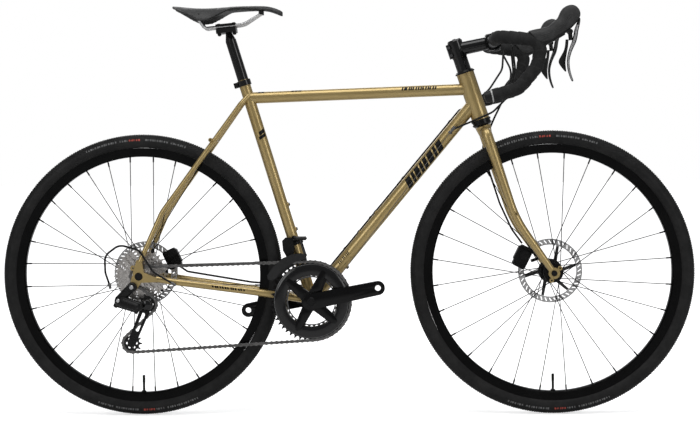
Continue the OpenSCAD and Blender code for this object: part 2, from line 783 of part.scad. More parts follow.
rail_front = [-204, 1001];
rail_back = [-365, 986];
module saddle_rails() {
    along = on_circle(1, rail_tilt);
    a = rail_clamp - 36 * along;
    b = rail_clamp + 36 * along;
    color(silver) both_sides() bent_tube(
        [[rail_back.x, 42, rail_back.y + 6], [rail_back.x + 19, rail_y + 3, a.y - 2], [a.x, rail_y, a.y],
            [b.x, rail_y, b.y], [b.x + 12, rail_y - 1, b.y + 3], [rail_front.x, 8, rail_front.y]],
        [12, 30, 60, 30],
        [for (i = [0:5]) rail_r]
    );
}

// The saddle's outline: half its width and the height of its top, from the tail (0) to the nose (1).
saddle_tail_x = -430;
saddle_length = 281;
function saddle_half(t) = t < 0.4 ? mix(72, 58, smooth(t / 0.4)) * sqrt(min(1, (t + 0.012) / 0.1))
    : mix(58, 19.5, smooth(min(1, (t - 0.4) / 0.45))) * sqrt(max(0.05, min(1, (1.004 - t) / 0.06)));
function saddle_top(t) = 1016.5 + 7 * pow(max(0, 1 - t / 0.3), 2)
    + 5 * smooth(min(1, max(0, (t - 0.3) / 0.45)))
    - 15 * pow(max(0, (t - 0.8) / 0.2), 2);
function saddle_edge(t) = saddle_top(t) - 10 - 28 * smooth(max(0, 1 - abs(t - 0.28) / 0.3))
    - 5 * smooth(max(0, (t - 0.6) / 0.4));

function saddle_ring(t, inset, top_drop, bottom_drop) = let (
        half = saddle_half(t) - inset,
        x = saddle_tail_x + inset + (saddle_length - 2 * inset) * t,
        top = saddle_top(t) - top_drop,
        low = saddle_edge(t) - bottom_drop
    ) concat(
        [for (s = [-1:0.25:1]) [x, half * sin(90 * s), top - (top - low) * pow(abs(sin(90 * s)), 3.2)]],
        [for (s = [1:-0.25:-1]) [x, (half - 3) * sin(90 * s),
            top - 7 - (top - 7 - low + 1.5) * pow(abs(sin(90 * s)), 3.2)]]
    );

module saddle_cover() {
    color(black) skin([for (i = [0:24]) saddle_ring(i / 24, 0, 0, 0)]);
}

module saddle_shell() {
    color(dark) {
        skin([for (i = [1:23]) saddle_ring(i / 24, 3.2, 7.3, -3)]);
        translate([rail_front.x - 2, 0, rail_front.y + 1]) cube([12, 26, 9], center = true);
        both_sides() translate([rail_back.x + 2, 41, rail_back.y + 7]) rotate([0, 0, 20])
            cube([18, 13, 12], center = true);
    }
}

// ---- steering ----
leg_bend_r = 272;
leg_bend = 17.55;
leg_y = 54;
module fork_leg() {
    leg_low = -fork_length + 194;
    corner = [0, leg_y - 1, leg_low - leg_bend_r * tan(leg_bend / 2)];
    tip = [fork_offset, leg_y, -fork_length];
    down = unit(tip - corner);
    bent_tube(
        [[0, 0, -21.5], [0, 36, -25], [0, 41, -56], corner, tip - 11 * down],
        [16, 40, leg_bend_r],
        [13.5, 13.5, 13.2, 10.5, 8]
    );
    translate(tip) rotate([90, 0, 0]) cylinder(h = 8, r = 14, center = true);
    // fender and rack eyelets, and a boss halfway down the leg
    eyelets() rotate([90, 0, 0]) cylinder(h = 6, r = 5.5, center = true);
    for (p = eyelet_places()) rod(tip, p, 2.8);
    rod([4, leg_y - 2, leg_low - 26], [4, leg_y + 11.2, leg_low - 26], 5);
}

function eyelet_places() = [[fork_offset - 11.6, leg_y, -fork_length - 14.8],
    [fork_offset + 17.4, leg_y, -fork_length + 7.4]];
module eyelets() { for (p = eyelet_places()) translate(p) children(); }

module fork() {
    color(gold) steering() difference() {
        union() {
            translate([0, 0, -34]) cylinder(h = 26.4, r1 = 15, r2 = 20);
            translate([0, 0, -10]) cylinder(h = 224, r = 14.3);
            both_sides() fork_leg();
        }
        cylinder(h = 230, r = 12);
        translate([fork_offset, 0, -fork_length]) rotate([90, 0, 0])
            cylinder(h = through, r = axle_r + slack, center = true);
        both_sides() eyelets() rotate([90, 0, 0]) cylinder(h = 12, r = 2.5, center = true);
        both_sides() translate([4, leg_y + 2, -fork_length + 168])
            rotate([-90, 0, 0]) cylinder(h = 16, r = 2.5);
        both_sides() translate([fork_offset, front_old + 0.2, -fork_length]) rotate([90, 0, 0])
            cylinder(h = 12, r = 22);
    }
}

module front_axle() {
    color(black) side(front_axle_p) thru_axle(front_old + 8.2, 7.5);
}

clamp_low = 172;
clamp_high = 214;
stem_dir = unit([0.985, 0, 0.172]);
bar_p = head_bottom + 195 * steer_dir + stem_length * stem_dir;
bar_r = 15.9;
module facing_bar() { aimed(bar_p, stem_dir, [0, 1, 0]) children(); }
module faceplate_bolts() {
    facing_bar() for (x = [-16, 16], y = [-18.7, 18.7]) translate([x, y, 0]) children();
}

module stem() {
    mid = head_bottom + (clamp_low + clamp_high) / 2 * steer_dir;
    color(black) difference() {
        union() {
            steering() translate([0, 0, clamp_low + seam])
                cylinder(h = clamp_high - clamp_low - 2 * seam, r = 18.6);
            steering() translate([-17, 0, (clamp_low + clamp_high) / 2]) cube([14, 20, 36], center = true);
            rod(mid, bar_p - 6 * stem_dir, 17, 16);
            side([bar_p.x, bar_p.z]) cylinder(h = 44, r = bar_r + 5, center = true);
        }
        steering() cylinder(h = 300, r = 14.3 + slack);
        steering() translate([-24, 0, 190]) cube([24, 2, 80], center = true);
        side([bar_p.x, bar_p.z]) cylinder(h = 60, r = bar_r + slack, center = true);
        facing_bar() translate([-50, -50, 1]) cube([100, 100, 60]);
        faceplate_bolts() cylinder(h = 60, r = 2.6, center = true);
        pinch_bolts() cylinder(h = 40, r = 2.6, center = true);
    }
}

module pinch_bolts() {
    steering() for (z = [183, 203]) translate([-19.5, 0, z]) rotate([90, 0, 0]) children();
}

module stem_faceplate() {
    color(black) difference() {
        union() {
            side([bar_p.x, bar_p.z]) cylinder(h = 44, r = bar_r + 4.5, center = true);
            faceplate_bolts() cylinder(h = 12, r = 5);
        }
        side([bar_p.x, bar_p.z]) cylinder(h = 60, r = bar_r + slack, center = true);
        facing_bar() translate([-50, -50, -58]) cube([100, 100, 60]);
        facing_bar() translate([-6, -30, 0]) cube([12, 60, 60]);
        faceplate_bolts() translate([0, 0, 12]) cylinder(h = 20, r = 4.4);
        faceplate_bolts() cylinder(h = 60, r = 2.6, center = true);
    }
    color(black) facing_bar() difference() {
        translate([-7, -13, bar_r - 2]) cube([14, 26, 6]);
        rotate([0, 90, 0]) cylinder(h = 60, r = bar_r + slack, center = true);
    }
}

module stem_bolts() {
    color(grey) {
        faceplate_bolts() {
            translate([0, 0, -14]) cylinder(h = 27, r = 2.5);
            translate([0, 0, 12 + seam]) cylinder(h = 4, r = 4.2);
        }
        pinch_bolts() {
            cylinder(h = 20, r = 2.5, center = true);
            translate([0, 0, 10 + seam]) cylinder(h = 4, r = 3.6);
            translate([0, 0, 9]) cylinder(h = 2, r = 2.5);
        }
    }
}

module headset_spacers() {
    low = head_tube_length + 7.3;
    pitch = (clamp_low - low) / 2;
    color(black) steering() {
        for (z = [low, low + pitch]) translate([0, 0, z]) difference() {
            cylinder(h = pitch - seam, r = 17.5);
            translate([0, 0, -1]) cylinder(h = 40, r = 14.3 + slack);
        }
        translate([0, 0, clamp_high + seam]) cylinder(h = 4, r1 = 18.4, r2 = 16);
        translate([0, 0, clamp_high - 20]) cylinder(h = 26, r = 4);
    }
}

// The bar's path on one side, from the stem out to the hoods, round the drop to its end.
bar_path = [
    bar_p, bar_p + [0, 60, 0], bar_p + [0, 78, 0], bar_p + [0, hood_y, 0],
    [468, hood_y + 1, 911], [459, hood_y + 3, 852], [413, hood_y + 5, 797], [334, hood_y + 8, 777.5]
];
bar_bends = [30, 30, 42, 24, 58, 55];
module handlebar() {
    r = bar_d / 2;
    color(black) difference() {
        both_sides() bent_tube(bar_path, bar_bends, [bar_r, bar_r, r, r, r, r, r, r]);
        rod(bar_p - [0, 150, 0], bar_p + [0, 150, 0], r - 2);
    }
}

module bar_tape() {
    gap = bar_d / 2 + slack;
    path = [for (i = [0:7]) i == 0 ? bar_p + [0, 84, 0] : bar_path[i]];
    tape = [for (i = [0, 3, 4, 5, 6, 7]) path[i]];
    bends = [42, 24, 58, 55];
    end_dir = unit(tape[5] - tape[4]);
    color(dark) both_sides() {
        difference() {
            bent_tube(tape, bends, [for (i = [0:5]) tape_d / 2]);
            bent_tube([for (i = [0:5]) i == 0 ? tape[0] - [0, 9, 0] : i == 5 ? tape[5] + 9 * end_dir : tape[i]],
                bends, [for (i = [0:5]) gap]);
        }
        rod(tape[5] + 0.2 * end_dir, tape[5] + 3 * end_dir, tape_d / 2);
    }
}

// ---- brake and shift levers, drawn on the left and mirrored for the right ----
pivot_p = [535, 931];
block_half = 7;
module lever_bracket() {
    difference() {
        union() {
            bent_tube([[462, hood_y + 1, 905], [500, hood_y, 925], [521, hood_y, 935]], [60], [13, 13, 11]);
            rod([519, hood_y, 934], [546, hood_y, 982], 9, 8);
            for (s = [-1, 1]) rod([518, hood_y + s * 10, 932], [pivot_p.x, hood_y + s * 10, pivot_p.y], 2.2);
            for (s = [-1, 1]) translate([pivot_p.x, hood_y + s * 10, pivot_p.y]) rotate([90, 0, 0])
                cylinder(h = 4.8, r = 6, center = true);
        }
        bent_tube([for (i = [3:7]) bar_path[i]], [24, 58, 55], [for (i = [3:7]) bar_d / 2 + slack]);
        translate([pivot_p.x, hood_y, pivot_p.y])
            rotate([90, 0, 0]) cylinder(h = 60, r = 2.5 + slack, center = true);
        translate([pivot_p.x, hood_y, pivot_p.y]) rotate([90, 0, 0])
            cylinder(h = 2 * block_half + 1, r = 13, center = true);
    }
}

module lever_brackets() { color(black) both_sides() lever_bracket(); }

module hood_covers() {
    y = [0, 1, 0];
    rings = [
        loop([441, hood_y, 918.5], unit([-0.2, 0, 1]), y, 17.5, 16.5),
        loop([455, hood_y, 917.5], unit([-0.2, 0, 1]), y, 19.5, 17),
        loop([472, hood_y, 918], unit([-0.2, 0, 1]), y, 20.5, 17),
        loop([490, hood_y, 923], unit([-0.3, 0, 1]), y, 20, 16.5),
        loop([506, hood_y, 934], unit([-0.45, 0, 1]), y, 19, 16),
        loop([520, hood_y, 948], unit([-0.7, 0, 0.72]), y, 17.5, 15.5),
        loop([530, hood_y, 962], unit([-0.83, 0, 0.55]), y, 20, 15),
        loop([537, hood_y, 974.5], unit([-0.9, 0, 0.4]), y, 20, 14),
        loop([542, hood_y, 983], unit([-0.92, 0, 0.36]), y, 16, 12),
        loop([544.5, hood_y, 989], unit([-0.92, 0, 0.36]), y, 9, 8)
    ];
    color(black) both_sides() difference() {
        skin(rings);
        translate([pivot_p.x, hood_y, pivot_p.y - 4])
            rotate([90, 0, 0]) cylinder(h = 60, r = 17, center = true);
    }
}

module lever_block() {
    at = [pivot_p.x, hood_y, pivot_p.y];
    difference() {
        union() {
            translate(at) rotate([90, 0, 0]) cylinder(h = 2 * block_half, r = 6, center = true);
            rod(at, at + [2, 0, -20], 5);
        }
        rod(at + [-12, 0, -17], at + [16, 0, -17], 2 + slack);
    }
    translate(at) rotate([90, 0, 0]) cylinder(h = 24, r = 2.5, center = true);
}

// The blade turns about a fore-and-aft pin under the block, so it can swing inboard to shift.
swing_p = [pivot_p.x + 2, hood_y, pivot_p.y - 17];
module brake_lever() {
    along = [0, 1, 0];
    blade = [
        [558, 960, 3], [556, 948, 4.2], [552.5, 936, 5], [549.5, 923, 5.4], [547, 910, 5], [541, 897, 4.8],
        [535.5, 881, 4.2], [531.5, 863, 3.8], [532, 845, 3.6], [536.5, 828, 3.2], [540.5, 814, 2.4]
    ];
    difference() {
        skin([for (b = blade) loop([b[0], hood_y + 2, b[1]], [1, 0, 0.12], along, b[2], b[2] * 1.9, 0.7, 12)]);
        translate([pivot_p.x, hood_y, pivot_p.y]) rotate([90, 0, 0])
            cylinder(h = 40, r = 8, center = true);
        rod(swing_p + [-11.9, 0, 0], swing_p + [9, 0, 0], 5.6);
        rod([pivot_p.x, hood_y, pivot_p.y], [pivot_p.x + 2.1, hood_y, pivot_p.y - 21], 7.4);
    }
    rod(swing_p - [10, 0, 0], swing_p + [15, 0, 0], 2);
}

module shift_paddle() {
    at = swing_p + [-8.4, 0, 0];
    paddle = [[528, 911, 3, 0], [526, 894, 3.6, 1], [523, 882, 5, 2], [517.5, 868, 8.2, 4], [517, 860, 8, 4],
        [520, 848, 5.2, 3], [524.5, 838, 2.4, 2]];
    difference() {
        union() {
            rod(at - [1.6, 0, 0], at + [1.2, 0, 0], 4.4);
            skin([for (p = paddle)
                loop([p[0], hood_y - 3 - p[3], p[1]], [1, 0, 0], [0, 1, 0], p[2], 2.2, 0.8, 12)]);
        }
        rod(swing_p - [20, 0, 0], swing_p + [20, 0, 0], 2 + slack);
    }
}

module right_lever_block() { color(black) mirror([0, 1, 0]) lever_block(); }
module right_brake_lever() { color(black) mirror([0, 1, 0]) brake_lever(); }
module right_shift_paddle() { color(dark) mirror([0, 1, 0]) shift_paddle(); }
module left_lever_block() { color(black) lever_block(); }
module left_brake_lever() { color(black) brake_lever(); }
module left_shift_paddle() { color(dark) shift_paddle(); }

// ---- wheels: local z points to the drive side ----
nipple_z = 2;           // how far the nipples sit from the rim's middle
module tyre() {
    tube_r = tyre_width / 2;
    color(black) rotate_extrude() difference() {
        translate([tyre_r - tube_r - 0.5, 0]) circle(r = tube_r + 0.5);
        translate([tyre_r - tube_r - 1.5, 0]) circle(r = tube_r - 2.5);
        translate([250, -tube_r - 5]) square([rim_edge_r + 0.2 - 250, 2 * tube_r + 10]);
    }
}

module rim(spokes_n) {
    half = rim_width / 2;
    well_r = rim_inner_r + 11;
    color(black) difference() {
        rotate_extrude() difference() {
            polygon([
                [rim_edge_r, -half], [rim_inner_r + 3, -half + 1.5], [rim_inner_r, -half + 5],
                [rim_inner_r, half - 5], [rim_inner_r + 3, half - 1.5], [rim_edge_r, half],
                [rim_edge_r, half - 2.2], [rim_edge_r - 6, half - 2.2], [well_r + 2, half - 5],
                [well_r, half - 7], [well_r, 7 - half], [well_r + 2, 5 - half],
                [rim_edge_r - 6, 2.2 - half], [rim_edge_r, 2.2 - half]
            ]);
            polygon([
                [rim_inner_r + 2, 6 - half], [rim_inner_r + 2, half - 6], [rim_inner_r + 5, half - 3.4],
                [well_r - 1.6, half - 5.6], [well_r - 1.6, 5.6 - half], [rim_inner_r + 5, 3.4 - half]
            ]);
        }
        for (i = [0:spokes_n - 1]) rotate([0, 0, (i + 0.5) * 360 / spokes_n])
            translate([rim_inner_r - 5, 0, i % 2 == 0 ? nipple_z : -nipple_z]) rotate([0, 90, 0])
                cylinder(h = 9, r = 2.6);
        rotate([0, 0, -90]) rotate([0, 90, 0]) translate([0, 0, rim_inner_r - 5]) cylinder(h = 20, r = 4.2);
    }
    color(black) rotate([0, 0, -90]) rotate([0, 90, 0]) {
        translate([0, 0, rim_inner_r - 36]) cylinder(h = 47.5, r = 3);
        translate([0, 0, rim_inner_r - 3.1]) cylinder(h = 3, r = 6);
        translate([0, 0, rim_inner_r - 42]) cylinder(h = 18, r = 3.4);
    }
}

// Crossed spokes. Odd and even spokes go to opposite flanges, and neighbours on a flange lean opposite ways.
module spokes(n, right_z, left_z, hole_r, crossing) {
    rim_r = rim_inner_r + 0.5;
    for (i = [0:n - 1]) let (
        right = i % 2 == 0,
        k = floor(i / 2),
        lead = k % 2 == 0 ? 1 : -1,
        rim_a = (i + 0.5) * 360 / n,
        hub_a = rim_a + lead * crossing * 720 / n,
        flange_z = right ? right_z : left_z,
        outward = (lead > 0) == right,
        offset = outward ? 3.5 : 2.6,
        root = [each on_circle(hole_r, hub_a), flange_z + lead * offset],
        tip = [each on_circle(rim_r, rim_a), right ? nipple_z : -nipple_z],
        aim = unit(tip - root)
    ) {
        rod(root, tip, 1);
        rod(tip - 13 * aim, tip + 0.5 * aim, 1.9);
        translate([root.x, root.y, flange_z]) rotate([lead > 0 ? 0 : 180, 0, 0]) {
            translate([0, 0, -2.5]) cylinder(h = offset + 3.7, r = 1.06);
            translate([0, 0, -2.6]) cylinder(h = 0.95, r = 1.8);
        }
    }
}

// A hub on two cartridge bearings, with a splined seat for the rotor on the left.
module hub(n, right_z, left_z, hole_r, rotor_z, half, shell_low, shell_high, crossing) {
    color(black) difference() {
        union() {
            translate([0, 0, shell_low]) cylinder(h = shell_high - shell_low, r = 13.5);
            for (z = [right_z, left_z]) {
                translate([0, 0, z]) cylinder(h = 3, r = hole_r + 3.5, center = true);
                translate([0, 0, z]) cylinder(h = 6, r1 = 17, r2 = 13.5, center = true);
            }
            translate([0, 0, rotor_z - 3]) cylinder(h = 4, r = 17);
            translate([0, 0, rotor_z + rotor_t / 2 + seam]) cylinder(h = 6, r = 20);
        }
        cylinder(h = through, r = 8.5, center = true);
        translate([0, 0, shell_high - 7]) cylinder(h = 20, r = 11.55);
        translate([0, 0, shell_low - 13]) cylinder(h = 20, r = 11.55);
        for (i = [0:n - 1]) let (
            lead = floor(i / 2) % 2 == 0 ? 1 : -1,
            hub_a = (i + 0.5) * 360 / n + lead * crossing * 720 / n,
            flange_z = i % 2 == 0 ? right_z : left_z
        ) translate([each on_circle(hole_r, hub_a), flange_z]) cylinder(h = 5, r = 1.25, center = true);
    }
    color(silver) for (z = [shell_low + 3.5, shell_high - 3.5])
        translate([0, 0, z]) ring(11.5, axle_r + slack, 6.8);
    color(black) {
        translate([0, 0, (half + shell_high) / 2]) ring(9, axle_r + slack, half - shell_high - 2 * seam);
        translate([0, 0, (-half + shell_low) / 2]) ring(9, axle_r + slack, half + shell_low - 2 * seam);
    }
}

module rotor() {
    slots_n = 40;
    color(silver) linear_extrude(height = rotor_t, center = true) {
        difference() {
            circle(r = rotor_d / 2);
            circle(r = rotor_d / 2 - 15);
            for (i = [0:slots_n - 1]) rotate(i * 360 / slots_n) translate([rotor_d / 2 - 7.5, 0]) rotate(35)
                rounded_rect(10, 2.6, 1.25);
        }
        for (a = [0:60:300])
            rotate(a) polygon([[24, -5], [rotor_d / 2 - 13, 12], [rotor_d / 2 - 13, 19], [24, 5]]);
        difference() {
            circle(r = 30);
            circle(r = 17 + slack);
        }
    }
}

front_flanges = [33, -21];
rear_flanges = [18.5, -33];
front_hole_r = 21;
rear_hole_r = 25;
module front_tyre() { side(front_axle_p) tyre(); }
module rear_tyre() { side(rear_axle_p) tyre(); }
module front_rim() { side(front_axle_p) rim(front_spokes_n); }
module rear_rim() { side(rear_axle_p) rim(rear_spokes_n); }
module front_spokes() {
    color(dark) side(front_axle_p) spokes(front_spokes_n, front_flanges[0], front_flanges[1], front_hole_r, 2);
}
module rear_spokes() {
    color(dark) side(rear_axle_p) spokes(rear_spokes_n, rear_flanges[0], rear_flanges[1], rear_hole_r, 3);
}
module front_hub() {
    side(front_axle_p) hub(front_spokes_n, front_flanges[0], front_flanges[1], front_hole_r, -front_rotor_y,
        front_old, -43, 43, 2);
}
module rear_hub() {
    side(rear_axle_p) {
        hub(rear_spokes_n, rear_flanges[0], rear_flanges[1], rear_hole_r, -rear_rotor_y, rear_old, -59, 23, 3);
    }
}
module front_rotor() { side(front_axle_p) translate([0, 0, -front_rotor_y]) rotor(); }
module rear_rotor() { side(rear_axle_p) translate([0, 0, -rear_rotor_y]) rotor(); }

freehub_r = 15.5;
module freehub() {
    color(silver) side(rear_axle_p) difference() {
        union() {
            translate([0, 0, 23.4]) cylinder(h = 45, r = freehub_r);
            translate([0, 0, 23.4]) cylinder(h = 3, r = 19);
        }
        cylinder(h = 300, r = 9.2, center = true);
        for (a = [0:40:320]) rotate([0, 0, a]) translate([freehub_r + 0.2, 0, 27]) cylinder(h = 60, r = 1.2);
    }
}

module cassette() {
    color(silver) side(rear_axle_p) {
        for (i = [0:len(cog_teeth) - 1]) let (t = cog_teeth[i]) translate([0, 0, top_cog_y - i * cog_pitch]) {
            difference() {
                sprocket(t, i == 0 ? gap_angle(1) : 90 + 3 * i, freehub_r + seam, cog_t);
                window_r = min((pitch_r(t) - 22.6) / 2 - 1.8, 14);
                if (t > 19) for (a = [0:360 / 7:359]) rotate([0, 0, a])
                    translate([pitch_r(t) - 7.5 - window_r, 0, 0]) cylinder(h = 5, r = window_r, center = true);
            }
            if (i > 0) translate([0, 0, cog_pitch / 2])
                ring(17.2, freehub_r + seam, cog_pitch - cog_t - 2 * slack);
        }
        translate([0, 0, 68.3 + 0.2]) difference() {
            cylinder(h = 1.6, r = 14.5);
            translate([0, 0, -1]) cylinder(h = 4, r = 10);
        }
    }
}

// ---- cranks: drawn along local x, away from the bottom bracket ----
spider_angles = [52, 128, 232, 308];
bolt_circle_r = 55;
module crank_arm() {
    difference() {
        union() {
            linear_extrude(height = 11, center = true) tapered_bar(crank_length, 19, 16.5);
            linear_extrude(height = 13.4, center = true) tapered_bar(crank_length, 16.4, 13.9);
            cylinder(h = 14, r = 20, center = true);
        }
        translate([crank_length, 0, 0]) cylinder(h = 40, r = 7.14, center = true);
    }
}

module crank_right() {
    color(black) side(bb) rotate([0, 0, crank_angle]) {
        translate([0, 0, crank_y]) crank_arm();
        translate([0, 0, 45.2]) cylinder(h = 16, r = 24);
        translate([0, 0, -58]) cylinder(h = 110, r = spindle_r);
        for (a = spider_angles) rotate([0, 0, a]) difference() {
            translate([8, 0, 49.5]) linear_extrude(height = 6)
                polygon([[0, -15], [bolt_circle_r, -11], [bolt_circle_r, 11], [0, 15]]);
            translate([bolt_circle_r, 0, 40]) cylinder(h = 30, r = 4.1);
            translate([bolt_circle_r + 9, -20, 40]) cube([20, 40, 30]);
        }
    }
}

module crank_left() {
    color(black) side(bb) rotate([0, 0, crank_angle + 180]) translate([0, 0, -crank_y]) difference() {
        union() {
            crank_arm();
            translate([0, 0, -1]) cylinder(h = 21, r = 20);
        }
        translate([0, 0, -2]) cylinder(h = 40, r = spindle_r + slack);
        translate([-16, 0, 0]) cube([18, 1.5, 60], center = true);
    }
    color(black) side(bb) translate([0, 0, -crank_y - 7.2]) cylinder(h = 5, r = spindle_r - 0.1);
}

module chainring(teeth, phase, z, inner_r) {
    side(bb) translate([0, 0, z]) linear_extrude(height = ring_t, center = true) difference() {
        union() {
            difference() {
                sprocket_outline(teeth, phase);
                circle(r = inner_r);
            }
            for (a = spider_angles) rotate(a + crank_angle) translate([bolt_circle_r, 0]) {
                circle(r = 9);
                translate([0, -9]) square([inner_r - bolt_circle_r + 3, 18]);
            }
        }
        for (a = spider_angles) rotate(a + crank_angle) translate([bolt_circle_r, 0]) circle(r = 4.1);
    }
}

module big_ring() {
    color(black) chainring(big_ring_teeth, gap_angle(0), big_ring_y, 63);
    // the ring bolts, through both rings
    color(grey) side(bb) for (a = spider_angles) rotate([0, 0, a + crank_angle])
        translate([bolt_circle_r, 0, small_ring_y - ring_t / 2 - 1.5 - seam]) {
            cylinder(h = 18.4, r = 4);
            cylinder(h = 1.5, r = 6);
            translate([0, 0, 17.2]) cylinder(h = 1.5, r = 5.8);
        }
}
module small_ring() { color(dark) chainring(small_ring_teeth, 0, small_ring_y, 58); }

// ---- hoses and cable housings ----
module line(points, bends, r = 2.5) {
    bent_tube(points, bends, [for (p = points) r]);
}

module control_lines() {
    ridge = 17 * down_normal + [0, 9.5, 0];
    color(black) {
        // rear brake hose, past the head tube's left side, on top of the down tube, along the left chainstay
        line([[420, 60, 905], [424, 50, 850], [404, 36, 790], [350, 28, 782],
            down_tube_top - 40 * down_dir + ridge, bb_3d + 90 * down_dir + ridge,
            bb_3d + 50 * down_dir + [0, 26, 0], [-92, 34, 316], [-240, 50, 326],
            [-405, 65, 353], [-424, 65, 366]], [40, 40, 40, 60, 60, 40, 40, 60, 12]);
        // shift housings, one past each side of the head tube to the stops on the down tube
        line([[403, 92, 906], [398, 70, 858], [362, 32, 806], [318, 31, 768],
            down_tube_top - 88 * down_dir + [0, 22.5, 0]], [50, 40, 30]);
        line([[410, -92, 906], [419, -62, 850], [407, -44, 790], [366, -32, 748], [318, -29, 727],
            down_tube_top - 88 * down_dir - [0, 22.5, 0]], [50, 45, 40, 30]);
        // front brake hose, down the left fork leg
        line([[400, 120, 906], [426, 92, 850], [396, 66, 775], [376, 63, 735],
            [343, 59.5, 660], [387, 53.5, 520],
            [416, 47, 455], [441, 41, 419.5]], [60, 60, 60, 60, 60, 60]);
        // rear shift housing, from the chainstay over to the derailleur
        line([[-418, -78.5, 329], [-473, -82, 362], [-508, -86, 418], [-556, -88, 430], [-592, -87, 404],
            [-591, -86, 362], [-582, -84, 334]], [30, 30, 28, 28, 30]);
    }
}

frame();
headset();
bottom_bracket();
seat_collar();
bottle_bolts();
rear_axle();
rear_caliper();
rd_mount();
fd_mount();
control_lines();
chain();
seatpost();
saddle_clamp();
saddle_rails();
saddle_shell();
saddle_cover();
fork();
stem();
stem_faceplate();
stem_bolts();
headset_spacers();
handlebar();
bar_tape();
lever_brackets();
hood_covers();
front_axle();
front_caliper();
right_lever_block();
right_brake_lever();
right_shift_paddle();
left_lever_block();
left_brake_lever();
left_shift_paddle();
front_tyre();
front_rim();
front_spokes();
front_hub();
front_rotor();
rear_tyre();
rear_rim();
rear_spokes();
rear_hub();
rear_rotor();
freehub();
cassette();
crank_right();
crank_left();
big_ring();
small_ring();
rd_outer_link();
rd_inner_link();
rd_p_knuckle();
rd_cage();
rd_guide_pulley();
rd_tension_pulley();
fd_cage();
front_pad_left();
front_pad_right();
rear_pad_left();
rear_pad_right();
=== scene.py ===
import json
import math

